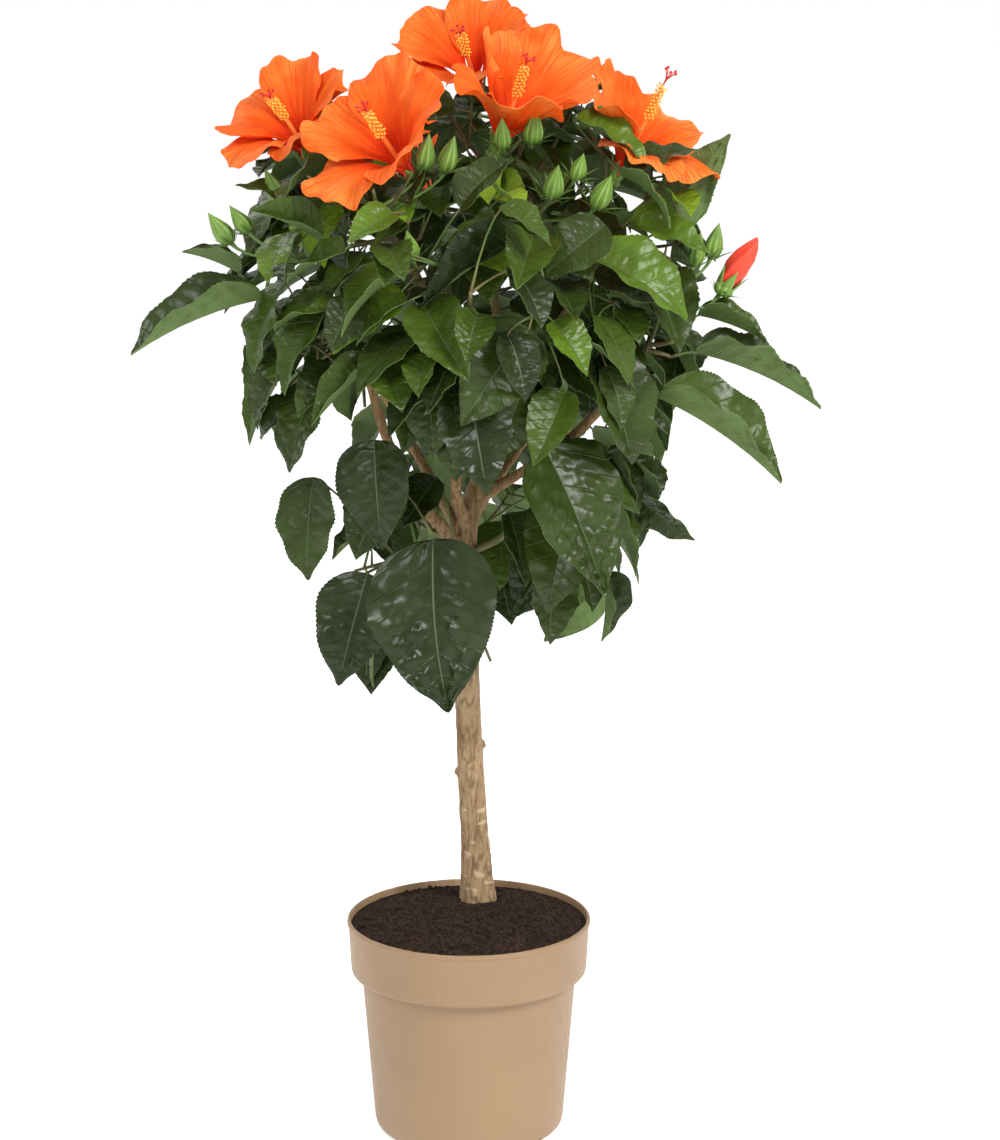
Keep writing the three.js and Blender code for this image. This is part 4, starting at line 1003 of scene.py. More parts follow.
# %% Views that stay open
fork_view, left_bough_view = (4, 0, 501, 17, 36), (-56, -25, 548, 13, 34)
open_views, front_side, big_length, behind, view_slope = [fork_view, left_bough_view], -60, 84, 12, 0.23
for leaf in leaves:
    x, y, z = leaf_point(leaf, 0.5, 0)
    if y < front_side and leaf["length"] > big_length:
        open_views.append((x, y, z, leaf["width"] * 0.5, leaf["length"] * 0.52))


def hides(leaf):
    """True where a leaf grown by lot would hang before a big placed leaf, or before the fork of the trunk."""
    x, y, z = leaf_point(leaf, 0.5, 0)
    return any(y < y0 + behind and abs(x - x0) < half_wide and abs(z + view_slope * (y - y0) - z0) < half_high
               for x0, y0, z0, half_wide, half_high in open_views)


print("open views", len(open_views))

# %% Then the others, up the crown in a spiral
lowest_site, longest_petiole, longest_shift = 412, 66, 26
sinks, dips, turns_aside = (0, 14, 30), (0, 12, -12, 24), (0, 22, -22, 44, -44)
shift_t, shift_s = np.meshgrid((0.2, 0.5, 1), (-1, 1), indexing="ij")


def shifted(mass, leaf):
    """Moves a leaf that stands a little across a wall back into its mass's space."""
    for away, limit in zip(mass["aways"], mass["limits"]):
        over = (leaf_point(leaf, shift_t, shift_s) @ away).max() - limit
        if 0 < over < longest_shift:
            leaf["foot"] = leaf["foot"] - away * over
    return leaf


def grow_leaf(middle_of, direction_of, length, make, kind):
    """Tries the ways that one leaf could hang, and keeps the first that is free."""
    for inwards, dip, more in product(sinks, dips, turns_aside):
        way = direction_of(more, dip)
        middle = middle_of(way, inwards)
        mass = masses[int(np.argmin(((hearts - middle) ** 2).sum(1)))]
        leaf = shifted(mass, make(middle - way * length * half_reach, way))
        if keep_if_free(mass, leaf, way, kind, True, longest_petiole):
            return True
    return False


def leaf_site(n, of, draw, kind, lengths, inner):
    """Everything that is drawn by lot for the leaf at one site."""
    radius, height = crown_site((n + 0.5) / of)
    if height < lowest_site:
        return False
    high = (height - crown_profile[0][1]) / (crown_profile[-1][1] - crown_profile[0][1])
    bearing = golden_turn * n + mixed(-9, 9, draw())
    length = mixed(*lengths, high) * mixed(0.84, 1.12, draw())
    width = length * mixed(0.66, 0.78, draw())
    roll = mixed(-26, 26, draw())
    fold, bend = mixed(6, 34, draw()), mixed(12, 46, draw())
    hang = mixed(76, 22, high) + mixed(-13, 13, draw())
    turn = mixed(-34, 34, draw())
    out = pointing(bearing)
    middle = vec(out[0] * radius, out[1] * radius, height) - crown_heart

    def direction_of(more, dip):
        return pointing(bearing + turn + more, hang + dip)

    def middle_of(way, inwards):
        sunk = inwards + 0.42 * length * math.hypot(way[0], way[1])
        return middle * (inner if inner else 1 - sunk / np.linalg.norm(middle)) + crown_heart

    def make(foot, way):
        return make_leaf(foot, way, out, length, width, roll, fold, bend)
    return grow_leaf(middle_of, direction_of, length, make, kind)


def leaf_sites(first, of, seed, kind, lengths, depths):
    """Leaves up the crown in a spiral. A depth of 0 is at its surface, others are shares of the way out."""
    draw = make_random(seed)
    for n in range(first, of):
        leaf_site(n, of, draw, kind, lengths, depths[n % len(depths)])


main_depths = (0, 0, 0.62, 0)
leaf_sites(0, 196, 7, "main", (98, 66), main_depths)
print("leaves after the spiral", len(leaves))

# %% [markdown]
# ## Finer twigs and the smaller leaves
# The rule so far grows what the solids hold. A real crown is fuller inside: each shoot forks again into thin
# twigs, and these bear smaller leaves that close the dark gaps. The same tests keep the new twigs and leaves
# within the reach of their mass, and off everything that is already there.

# %% Side twigs
side_twig_radius, side_twigs_each, side_wall_margin, side_crown_margin = 1.4, 2, 8, 18
side_draw = make_random(29)
for mass in masses:
    mass["side_twigs"] = []
    own_leaves = [leaf for leaf in leaves if leaf["mass"] == mass["name"]]
    for line in mass["shoot_lines"]:
        along_shoot = unit(line[-1] - line[0])
        for k in range(side_twigs_each):
            foot = mixed(line[1], line[2], mixed(0.1, 0.9, side_draw()))
            off = turned(unit(np.cross(along_shoot, up + 0.01)), along_shoot, 2 * math.pi * side_draw())
            way = unit(along_shoot * 0.7 + off * 0.8 + up * 0.25)
            tip = foot + way * mixed(26, 58, side_draw())
            if past_walls(mass, tip) > -side_wall_margin or past_crown(tip) > -side_crown_margin:
                continue
            twig = shoot_line(foot, tip)
            pieces = np.stack((twig[:-1], twig[1:]), 1)
            if any(crosses(pieces, leaf["triangles"]) for leaf in own_leaves):
                continue
            if any(stalk_blocked(mass, a, b, rod_arrays) for a, b in pieces):
                continue
            mass["side_twigs"].append(twig)
for mass in masses:
    for twig in mass["side_twigs"]:
        add_rods(mass["name"], twig, [side_twig_radius] * 4)
    mass["shoot_lines"] = mass["shoot_lines"] + mass["side_twigs"]
    del mass["root_points"]
rod_arrays = rods_as_arrays()
print("side twigs", sum(len(m["side_twigs"]) for m in masses))

# %% Smaller leaves
small_depths, top_depths, top_count = (0, 0.9, 0.78, 0, 0.66, 0.85), (0.84, 0.7, 0.92, 0.6), 300
leaf_sites(0, 330, 19, "small", (66, 46), small_depths)
for top_seed in (43, 59):
    leaf_sites(round(top_count * 0.45), top_count, top_seed, "small", (66, 44), top_depths)
print("leaves before the last gaps", len(leaves))

# %% Leaves for single gaps
# The last ones close gaps that are left in the front view: x and z, seen from the front on the plane y = 0.
fill_places = [
    (-5, 664), (73, 738), (122, 731), (92, 576), (24, 452), (-57, 467), (-150, 690), (60, 752), (30, 700),
    (-40, 690), (96, 700), (122, 521), (155, 603), (-173, 645), (30, 425), (128, 505), (88, 760), (-110, 700),
    (60, 640), (46, 760), (-70, 720), (10, 730), (-113, 542), (-98, 529), (-71, 370), (-78, 377), (74, 735),
    (62, 716), (-132, 663), (31, 669), (120, 731), (-27, 783), (-28, 743), (16, 800), (-3, 763), (80, 746),
    (54, 723), (-126, 656), (99, 727)]
# A few smaller ones hang before the feet of the left boughs, which can't be seen from the front.
near_places = [(-40, 494), (-31, 532), (-50, 474), (-24, 512), (-21, 524), (-34, 512), (-18, 540), (-44, 520)]


def fill_site(x, z, y, turn, slope, length):
    """A leaf that hangs across one line of sight, at a depth y."""
    place = front_eye + (vec(x, 0, z) - front_eye) * ((y - front_eye[1]) / -front_eye[1])
    out = unit(vec(place[0] * 0.4, -80, 0))

    def direction_of(more, dip):
        return pointing(-90 + turn + more, slope + dip)

    def middle_of(_, inwards):
        return place + vec(0, inwards * 0.5, 0)

    def make(foot, way):
        return make_leaf(foot, way, out, length, length * 0.78, 0, 14, 24)
    return grow_leaf(middle_of, direction_of, length, make, "small")


def fill_gaps(places, depths, turn_step, slope, length):
    """Hangs a leaf at each place, at the first depth where it has room, and tells which of them hang."""
    return [any(fill_site(x, z, y, turn_step * (n % 3 - 1), slope, length) for y in depths)
            for n, (x, z) in enumerate(places)]


print("gaps closed", sum(fill_gaps(fill_places, (30, 60, 0, 90, -30, -60), 18, 58, 58)))
print("hung before the fork", sum(fill_gaps(near_places, (-45, -60, -30, -75, -20, -95), 22, 64, 46)))
print("leaves in all", len(leaves))

# %% [markdown]
# ## Trunk and boughs
# The trunk is a woody stem as thick as a thumb. Its bark is tan, split into fine upright fissures, with
# flaking plates and pale scars low down, and the boughs leave it with a soft swelling, never a seam. Tubes
# alone would meet in hard creases. So rings are bridged into tubes, the tubes are melted together by a
# fine voxel remesh, and the bark is then pushed in and out of that one skin by noise that is stretched
# along the stem.


# %% Tubes by bridged rings
def frames_along(points):
    """At each point of a line: a sideways way and the way across, turned as little as possible."""
    last, side, out = len(points) - 1, vec(1, 0.13, 0), []
    for i in range(last + 1):
        ahead = unit(points[min(i + 1, last)] - points[max(i - 1, 0)])
        side = unit(side - ahead * (side @ ahead))
        out.append((side, np.cross(side, ahead)))
    return out


def tube_template(stations, sides):
    """A straight tube of unit radius with rings at z 0, 1, 2 and so on, closed at both ends."""
    tube = bmesh.new()
    for k in range(stations):
        at_end = k in (0, stations - 1)
        ring = bmesh.ops.create_circle(tube, segments=sides, radius=1, cap_ends=at_end)["verts"]
        bmesh.ops.translate(tube, vec=(0, 0, k), verts=ring)
    tube.edges.ensure_lookup_table()
    level = lambda k: [e for e in tube.edges if all(round(v.co.z) == k for v in e.verts)]
    for k in range(stations - 1):
        bmesh.ops.bridge_loops(tube, edges=level(k) + level(k + 1))
    bmesh.ops.recalc_face_normals(tube, faces=tube.faces)
    return arrays_of(tube)


def tube_along(points, radii, template):
    """The template's rings set on the points of a line."""
    flat, faces = template
    frames = frames_along(points)
    at = flat[:, 2].round().astype(int)
    side, across = (np.array([f[k] for f in frames])[at] for k in (0, 1))
    radius = np.asarray(radii)[at][:, None]
    return np.asarray(points)[at] + side * flat[:, :1] * radius + across * flat[:, 1:2] * radius, faces


# %% Trunk and boughs: one skin
limb_stations, trunk_stations, limb_sides, stub_stations = 19, 61, 20, 3
foot_flare, flare_height, joint_swell, swell_fade, sunk_in, skin_grain = 2.2, 14, 1.6, 9, 0.4, 0.00115
templates = {n: tube_template(n, limb_sides) for n in (limb_stations, trunk_stations, stub_stations)}
tubes = []
for name, limb in limbs.items():
    count = trunk_stations if name == "trunk" else limb_stations
    points, radii = limb_run(limb, count - 1)
    if name == "trunk":
        trunk_points = points
        above = points[:, 2] - compost_top
        radii = radii + foot_flare * np.exp(-np.clip(above, 0, None) / flare_height)
    else:
        radii = radii + joint_swell * np.exp(-np.linspace(0, 1, count) * swell_fade)
        points[0] -= (points[1] - points[0]) * sunk_in
    tubes.append(tube_along(points, radii, templates[count]))
for height, bearing, reach in stubs:
    near = trunk_points[np.argmin(abs(trunk_points[:, 2] - height))]
    foot = vec(near[0], near[1], height)
    out = unit(pointing(bearing) + vec(0, 0, 0.35))
    line = np.array([foot, foot + out * reach * 0.7, foot + out * reach])
    tubes.append(tube_along(line, [4.6, 3.9, 2.6], templates[stub_stations]))
limb_mesh = with_modifiers(mesh_from("limbs", *stamp(tubes)), "trunk_and_boughs",
                           ("REMESH", {"mode": "VOXEL", "voxel_size": skin_grain}),
                           ("SMOOTH", {"factor": 0.5, "iterations": 3}))
print("skin points", len(limb_mesh.vertices))


# %% Trunk and boughs: bark relief
def vectors_of(mesh, key):
    """One vector for each point of a mesh: its place, or the way it faces."""
    values = np.empty(len(mesh.vertices) * 3, np.float32)
    mesh.vertices.foreach_get(key, values)
    return values.reshape(-1, 3)


def noise_at(points, scale, seed):
    """Smooth noise from -1 to 1 at each point, with a size in millimetres for each direction."""
    shift = Vector((seed * 17.3, seed * 5.1, seed * 9.7))
    return np.array([noise.noise(Vector(p) + shift) for p in points / np.array(scale)])


skin, facing = vectors_of(limb_mesh, "co") / mm, vectors_of(limb_mesh, "normal")
fissure = 1 - np.clip(np.abs(noise_at(skin, (4.2, 4.2, 30), 1)) * 5, 0, 1)
fine_crack = 1 - np.clip(np.abs(noise_at(skin, (2.2, 2.2, 9), 2)) * 4, 0, 1)
plates = noise_at(skin, (6, 6, 11), 3)
lumps = noise_at(skin, (16, 16, 28), 4)
scar = np.clip((noise_at(skin, (9, 9, 5), 5) - 0.32) * 6, 0, 1)
old_bark_top, old_bark_fade, young_bark_top, young_bark_fade, buried = 330, 90, 620, 120, 6
low = np.clip((old_bark_top - skin[:, 2]) / old_bark_fade, 0, 1)
woody = np.clip((young_bark_top - skin[:, 2]) / young_bark_fade, 0.25, 1)
relief = (-0.65 * fissure - 0.35 * fine_crack + 0.35 * plates * (0.4 + 0.9 * low) + 0.45 * scar * low) * woody
limb_points = skin + facing * (relief + 0.5 * lumps * woody)[:, None]
limb_points[:, 2] = np.maximum(limb_points[:, 2], compost_top - buried)
limb_mesh.vertices.foreach_set("co", (limb_points * mm).astype(np.float32).ravel())
for layer, values in (("crack", np.clip(0.75 * fissure + 0.45 * fine_crack, 0, 1)), ("scar", scar * low)):
    limb_mesh.attributes.new(layer, "FLOAT", "POINT").data.foreach_set("value", values.astype(np.float32))
print("deepest fissure in mm", round(float(-relief.min()), 2))

# %% [markdown]
# ## Bark finish
# Low bark is grey-tan and dry. Higher up it is younger, warmer and orange-brown, and the last of each bough
# turns green. The cracks are darker than the plates, and rubbed scars are nearly cream.

# %% Bark finish
bark = Recipe("tan_bark")
at = bark.where()
height = bark.add("SeparateXYZ", 2, Vector=at)
crack = bark.add("Attribute", 2, {"attribute_name": "crack"})
pale = bark.add("Attribute", 2, {"attribute_name": "scar"})
grain = bark.noise(bark.stretch(at, (1, 1, 0.22)), 330, detail=5, roughness=0.65)
patch = bark.noise(bark.stretch(at, (1, 1, 0.45)), 60, detail=3)
tan = bark.over((0.252, 0.155, 0.079), (0.365, 0.245, 0.132), patch, 0.35, 0.65)
young_wood = bark.over((0.30, 0.155, 0.062), (0.38, 0.225, 0.09), patch, 0.35, 0.65)
wood = bark.over(tan, young_wood, height, 0.42, 0.56)
wood = bark.over(wood, (0.15, 0.155, 0.05), height, 0.58, 0.70)
wood = bark.over(wood, (0.435, 0.32, 0.19), grain, 0.42, 0.62, 0.5)
wood = bark.over(wood, (0.125, 0.070, 0.035), crack, 0.15, 0.95, 0.66)
wood = bark.over(wood, (0.58, 0.45, 0.28), pale, 0.1, 0.9, 0.6)
limb_mesh.materials.clear()
limb_mesh.materials.append(bark.finish(Base_Color=wood, Roughness=0.86, Specular_IOR_Level=0.3,
                                       Normal=bark.bump(grain, 0.7, 0.0009)))
new_piece("trunk_and_boughs", limb_mesh, list(limbs))

# %% [markdown]
# ## Twigs and leaf stalks
# Shoots are green to brown and as thick as a pencil lead, and every leaf hangs on its own thin stalk that
# swells where it joins the shoot. There are hundreds, so plain tubes of few faces are made and stamped along
# every line, and the twigs and the stalks are one mesh each.

# %% Twigs and stalks
stem_points, twig_points, stalk_points = 15, 7, 5
stem_template, twig_template = tube_template(stem_points, 10), tube_template(twig_points, 8)
stalk_template = tube_template(stalk_points, 6)
twig_tubes, stalk_tubes = [], []
big_blade, near_blade, shortened = 110, 9, 0.8
blade_t, blade_s = (grid.ravel() for grid in np.meshgrid(np.linspace(0.02, 0.98, 15), np.linspace(-1, 1, 11)))
big_blades = np.vstack([leaf_point(leaf, blade_t, blade_s, 0 * blade_t) for leaf in leaves
                        if leaf["kind"] == "show" and leaf["length"] > big_blade])


def smooth_along(points, count, share=1):
    return np.array([uniform_spline(points, share * k / (count - 1)) for k in range(count)])


def kept_share(line):
    """A shoot that would pierce one of the big blades ends a little sooner."""
    return shortened if np.linalg.norm(big_blades - line[-1], axis=1).min() < near_blade else 1


for mass in masses:
    main = np.vstack((mass["stem_line"], mass["shoot_lines"][0][1:]))
    twig_tubes.append(tube_along(smooth_along(main, stem_points),
                                 np.linspace(stem_radius, shoot_radius * 0.62, stem_points), stem_template))
    first_side = len(mass["shoot_lines"]) - len(mass["side_twigs"])
    for k, line in enumerate(mass["shoot_lines"][1:], 1):
        thick = side_twig_radius if k >= first_side else shoot_radius
        twig_tubes.append(tube_along(smooth_along(line, twig_points, kept_share(line)),
                                     np.linspace(thick, thick * 0.55, twig_points), twig_template))
shown_leaves = [leaf for leaf in leaves if leaf["kind"] == "show" or not hides(leaf)]
for leaf in shown_leaves:
    root, foot, chord = leaf["root"], leaf["foot"], leaf["chord"]
    knee = foot - chord * np.linalg.norm(foot - root) * 0.22
    knee = mixed((root + foot) / 2, knee, 0.5)
    line = [quadratic(root, knee, foot + chord * 1.5, t) for t in np.linspace(0, 1, stalk_points)]
    thick = petiole_radius * (0.75 + 0.35 * leaf["length"] / 100)
    radii = [thick * share for share in (1.5, 1, 0.85, 0.85, 0.9)]
    stalk_tubes.append(tube_along(line, radii, stalk_template))

green_wood = Recipe("green_twig")
streak = green_wood.noise(green_wood.stretch(green_wood.where(), (1, 1, 0.4)), 150)
twig_material = green_wood.finish(
    Base_Color=green_wood.over((0.085, 0.105, 0.028), (0.165, 0.125, 0.055), streak, 0.35, 0.65),
    Roughness=0.6, Specular_IOR_Level=0.35, Normal=green_wood.bump(streak, 0.35, 0.0004))
stalk_green = Recipe("leaf_stalk")
stalk_colour = stalk_green.over((0.095, 0.165, 0.038), (0.15, 0.13, 0.045),
                                stalk_green.noise(stalk_green.where(), 45), 0.4, 0.6)
stalk_material = stalk_green.finish(Base_Color=stalk_colour, Roughness=0.5, Specular_IOR_Level=0.4)
new_piece("twigs", mesh_from("twigs", *stamp(twig_tubes), [twig_material]))
new_piece("leaf_stalks", mesh_from("leaf_stalks", *stamp(stalk_tubes), [stalk_material]))

# %% [markdown]
# ## Leaves
# A leaf is a broad blade drawn to a point, toothed along both edges, folded a little along a pale midrib and
# puffed up between its side veins. One could cut each outline from a flat plate, but the blades bend, so it
# is easier to bend a template: a grid of few faces, given its thickness by an extrusion, keeps for every
# point how far along the blade it is, how far out to the side, and on which face. Every leaf of the plant is
# then that template put through the leaf's own shape. The leaves that are seen first get a finer template.


# %% Leaf template
def leaf_template(rows, columns, pointed=(0, 1)):
    """Points as (t, s, h) with h 1 on the face and -1 on the back, and the faces of the closed blade."""
    blade = bmesh.new()
    bmesh.ops.create_grid(blade, x_segments=rows, y_segments=len(columns) - 1, size=1)
    for v in blade.verts:
        v.co.x = round((v.co.x + 1) / 2 * rows) / rows
        v.co.y = columns[round((v.co.y + 1) / 2 * (len(columns) - 1))]
        v.co.z = -1
    lifted = bmesh.ops.extrude_face_region(blade, geom=list(blade.faces))["geom"]
    bmesh.ops.translate(blade, vec=(0, 0, 2), verts=[g for g in lifted if isinstance(g, bmesh.types.BMVert)])
    for end in pointed:
        for h in (-1, 1):
            row = [v for v in blade.verts if abs(v.co.x - end) < 1e-6 and abs(v.co.z - h) < 1e-6]
            bmesh.ops.pointmerge(blade, verts=row, merge_co=(end, 0, h))
    bmesh.ops.recalc_face_normals(blade, faces=blade.faces)
    return arrays_of(blade)


def both_sides(*half):
    """Places across a blade, from the midrib to the edge, and the same on the other side."""
    return tuple(-place for place in reversed(half)) + half


leaf_kinds = {
    "big": leaf_template(90, both_sides(0.014, 0.06, 0.13, 0.2, 0.27, 0.34, 0.41, 0.49, 0.57, 0.65, 0.73,
                                        0.81, 0.9, 1.0)),
    "show": leaf_template(52, both_sides(0.016, 0.12, 0.24, 0.37, 0.5, 0.64, 0.78, 0.9, 1)),
    "main": leaf_template(26, both_sides(0.02, 0.22, 0.48, 0.76, 1)),
    "small": leaf_template(16, both_sides(0.026, 0.55, 1))}
print("faces of a leaf", {kind: len(faces) for kind, (_, faces) in leaf_kinds.items()})

# %% One leaf from its template
blade_thickness, vein_pitch, vein_slant = 0.42, 0.13, 0.62
tooth_depth, puff_height, netted_length = (0.028, 0.05), 0.024, 60


def shape_leaf(leaf, template, seed):
    """The template's points on one leaf, and their place on it in leaf lengths."""
    flat, faces = template
    t, s, h = flat.T
    lot = np.random.default_rng(seed)
    rows = len(np.unique(t.round(5))) - 1
    row = (t * rows).round().astype(int)
    edge = np.abs(s) > 0.99
    tooth = edge & (row % 2 == 0) & (t > 0.08) & (t < 0.97)
    notch = edge & (row % 2 == 1) & (t > 0.08)
    depth = lot.uniform(*tooth_depth) * 26 / rows ** 0.5 / 5 * 0.55
    t = np.where(tooth, np.minimum(t + 0.6 / rows, 1), t)
    s = s * np.where(tooth, 1 + depth, np.where(notch, 1 - depth, 1))
    out = np.abs(s)
    length, width = leaf["length"], leaf["width"]
    half = width / 2 * full_outline(t)
    sideways = out * half
    off_rib = np.clip(out * 4, 0, 1)
    # Puffed up between the side veins, and crossed by smaller ones.
    vein = (t * length - vein_slant * sideways) / (vein_pitch * length) + 0.08 * np.sin(s * 5 + seed)
    between = np.abs(np.sin(np.pi * vein)) ** 0.7
    cross = 0.66 + 0.34 * np.sin(out * 15 + 2.2 * np.floor(vein) + seed)
    puff = between * cross * off_rib * np.clip((1.04 - out) * 4, 0, 1)
    puff = puff * np.clip(np.sin(np.pi * t), 0, 1) ** 0.6 * (0.75 + 0.5 * np.cos(3.2 * t + seed))
    puffed = (1.5 if length > big_blade else lot.uniform(0.7, 1.5)) * length * puff_height
    if length > netted_length:
        net = np.array([noise.noise(Vector((a * 1.5, b * 9 + 5, seed))) for a, b in zip(vein, s)])
        puff = puff * (0.9 + 0.6 * net) + 0.34 * net * off_rib
    # Then the wave of the edges, the twist and swing of the whole blade, and the ridge of the midrib.
    phase = lot.uniform(0, 2 * np.pi, 2)
    wave = length * lot.uniform(0.018, 0.042) * out ** 2.5 * np.sin(
        2 * np.pi * t * lot.uniform(2.0, 3.2) + np.where(s > 0, *phase)) * np.sin(np.pi * t.clip(0, 1))
    twist = lot.uniform(-0.55, 0.55) * (t - 0.25)
    swing = length * 0.035 * lot.uniform(-1, 1) * np.sin(np.pi * t)
    rise = puffed * puff + wave + np.sign(s) * sideways * np.sin(twist)
    ridge = np.where(out < 0.03, np.where(h < 0, 1.0, 0.35) * (1 - 0.8 * t), 0)
    rise = rise + h * blade_thickness / 2 - ridge
    points = leaf_point(leaf, t, s, rise, full_outline) + leaf["side"] * swing[:, None]
    return points, faces, np.stack((t, np.sign(s) * sideways / length), 1)


# %% Leaf colours by lot
# The young tones are the paler green of young leaves, made brighter still as painted light shining through
# them. The deep and dark tones go mostly to low leaves, as older green and as painted shade of the crown.
top_tones = {"deep": (0.0165, 0.0270, 0.0040), "dark": (0.0275, 0.0460, 0.0060), "mid": (0.042, 0.074, 0.007),
             "light": (0.078, 0.138, 0.009), "young": (0.165, 0.265, 0.016)}
back_tones = {"back": (0.105, 0.165, 0.045), "young_back": (0.15, 0.26, 0.045)}
rib_tones = {"rib": (0.068, 0.104, 0.043), "young_rib": (0.20, 0.32, 0.07)}


def toned(colour, by, more=0.0):
    """A colour made lighter or darker."""
    return tuple(min(1, c * by + more) for c in colour)


def leaf_recipe(name):
    """A recipe for one side of the blade: its map, the places along and out, and the distance from a vein."""
    r = Recipe("leaf_" + name)
    uv = r.add("UVMap", settings={"uv_map": "leaf"})
    split = r.add("SeparateXYZ", Vector=uv).node
    t, out = split.outputs[0], r.math("ABSOLUTE", split.outputs[1])
    slanted = r.math("SUBTRACT", t, r.math("MULTIPLY", out, vein_slant))
    vein = r.math("FRACT", r.math("DIVIDE", slanted, vein_pitch))
    return r, uv, t, out, r.math("ABSOLUTE", r.math("SUBTRACT", vein, 0.5))


def top_finish(name, colour):
    """A glossy upper face: puckered between the veins, a little lighter along them."""
    r, uv, t, out, from_vein = leaf_recipe(name)
    line = r.range(from_vein, 0.44, 0.5)
    across = r.add("CombineXYZ", X=t, Y=out)
    wandering = r.mix(0.04, across, r.add("TexNoise", 1, Vector=uv, Scale=9.0))
    nets = r.add("TexVoronoi", "Distance", {"feature": "SMOOTH_F1"}, Scale=13,
                 Vector=r.stretch(wandering, (1.0, 0.5, 1), (0, 0, -0.5)))
    puffs = r.math("SUBTRACT", 1.0, r.range(nets, 0.1, 0.75))
    cloud = r.noise(r.where(), 28)
    tone = r.over(toned(colour, 0.82), toned(colour, 1.22), cloud, 0.3, 0.7)
    tone = r.mix(r.math("MULTIPLY", line, 0.5), tone, toned(colour, 1.75, 0.004))
    height = r.math("SUBTRACT", puffs, r.math("MULTIPLY", line, 0.7))
    height = r.math("ADD", height, r.math("MULTIPLY", r.noise(r.where(), 120, detail=2), 0.22))
    return r.finish(Base_Color=tone, Roughness=r.range(cloud, 0.3, 0.7, 0.28, 0.38), Specular_IOR_Level=0.28,
                    Normal=r.bump(height, 0.6, 0.0016))


def back_finish(name, colour):
    """A dull under face, with its veins standing out."""
    r, _, _, _, from_vein = leaf_recipe(name)
    line = r.range(from_vein, 0.43, 0.5)
    tone = r.over(toned(colour, 0.86), toned(colour, 1.12), r.noise(r.where(), 40), 0.3, 0.7)
    tone = r.mix(r.math("MULTIPLY", line, 0.55), tone, toned(colour, 1.5))
    return r.finish(Base_Color=tone, Roughness=0.62, Specular_IOR_Level=0.3,
                    Normal=r.bump(line, 0.5, 0.0008))


def rib_finish(name, colour):
    return plain_finish("leaf_" + name, 60, toned(colour, 0.8), toned(colour, 1.15), 0.5,
                        Specular_IOR_Level=0.35)


finishes = (top_tones, top_finish), (back_tones, back_finish), (rib_tones, rib_finish)
leaf_materials = {name: made(name, tone) for tones, made in finishes for name, tone in tones.items()}
material_order = list(leaf_materials)
print("leaf finishes", material_order)

# %% All the leaves
tone_lot = np.random.default_rng(3)
# Above the first height, small front leaves may take the young tone, brightened as painted light. Below the
# second height, the darker tones are partly painted shade.
young_lit_height, shaded_height, rib_end = 715, 640, 0.86


def tone_of(leaf):
    """Young leaves are the small ones at the top of the crown, brightened as painted light; the lowest are
    the darkest, partly older green and partly painted shade.
    """
    x, y, z = leaf["foot"]
    if z > young_lit_height and y < 20 and leaf["kind"] == "small":
        chances = (0.04, 0.14, 0.28, 0.28, 0.26)
    elif z > shaded_height:
        chances = (0.14, 0.38, 0.36, 0.12, 0.0)
    else:
        chances = (0.29, 0.46, 0.24, 0.01, 0.0)
    return tone_lot.choice(list(top_tones), p=chances)


def face_materials(template, tone):
    """For each face of a leaf: the upper face, the under face, or the midrib beneath."""
    (flat, faces), young = template, "young_" if tone == "young" else ""
    used = faces >= 0
    middle = np.where(used[..., None], flat[np.maximum(faces, 0)], 0).sum(1) / used.sum(1)[:, None]
    rib = (np.abs(middle[:, 1]) < 0.02) & (np.abs(middle[:, 2]) > 0.9) & (middle[:, 0] < rib_end)
    sides = np.where(middle[:, 2] < 0.5, material_order.index(young + "back"), material_order.index(tone))
    return np.where(rib, material_order.index(young + "rib"), sides)


def add_leaves(name, chosen, replaced=()):
    stamps, uvs, tones = [], [], []
    for leaf in chosen:
        big = leaf["length"] > big_blade and leaf["kind"] == "show"
        template = leaf_kinds["big" if big else leaf["kind"]]
        points, faces, uv = shape_leaf(leaf, template, int(abs(leaf["foot"] @ vec(7, 13, 3))))
        stamps.append((points, faces))
        uvs.append(uv)
        tones.append(face_materials(template, tone_of(leaf)))
    mesh = mesh_from(name, *stamp(stamps), list(leaf_materials.values()), np.concatenate(tones))
    put_uv(mesh, "leaf", np.concatenate(uvs))
    new_piece(name, mesh, replaced)
    mesh.set_sharp_from_angle(angle=math.radians(60))


front_masses = [m["name"] for m in masses if m["heart"][1] < 20]
back_masses = [m["name"] for m in masses if m["name"] not in front_masses]
add_leaves("leaves_shown", [leaf for leaf in shown_leaves if leaf["kind"] == "show"])
main_leaves = [leaf for leaf in shown_leaves if leaf["kind"] == "main"]
add_leaves("leaves_front", [leaf for leaf in main_leaves if leaf["mass"] in front_masses], front_masses)
add_leaves("leaves_back", [leaf for leaf in main_leaves if leaf["mass"] in back_masses], back_masses)
add_leaves("leaves_small", [leaf for leaf in shown_leaves if leaf["kind"] == "small"])

# %% [markdown]
# ## Blooms
# A hibiscus bloom is a funnel of five broad petals that overlap like the blades of a fan. Each is narrow at
# its foot, pleated along its rays, and ruffled at the rim. A red-orange throat lightens to the rim, and one
# long column stands out of the middle with a brush of yellow anthers and five red stigmas at its tip. A petal
# is a bent blade as a leaf is, so it is made the same way: a fine grid template with a thickness, put
# through the shape of the funnel. No two petals get the same flare, droop or ruffle.

# %% Petal template
petal_foot, petal_lean, petal_ring, petal_thickness = 17, 24, 4, 0.45
petal_template = leaf_template(26, tuple(np.linspace(-1, 1, 41).round(4)), (0,))


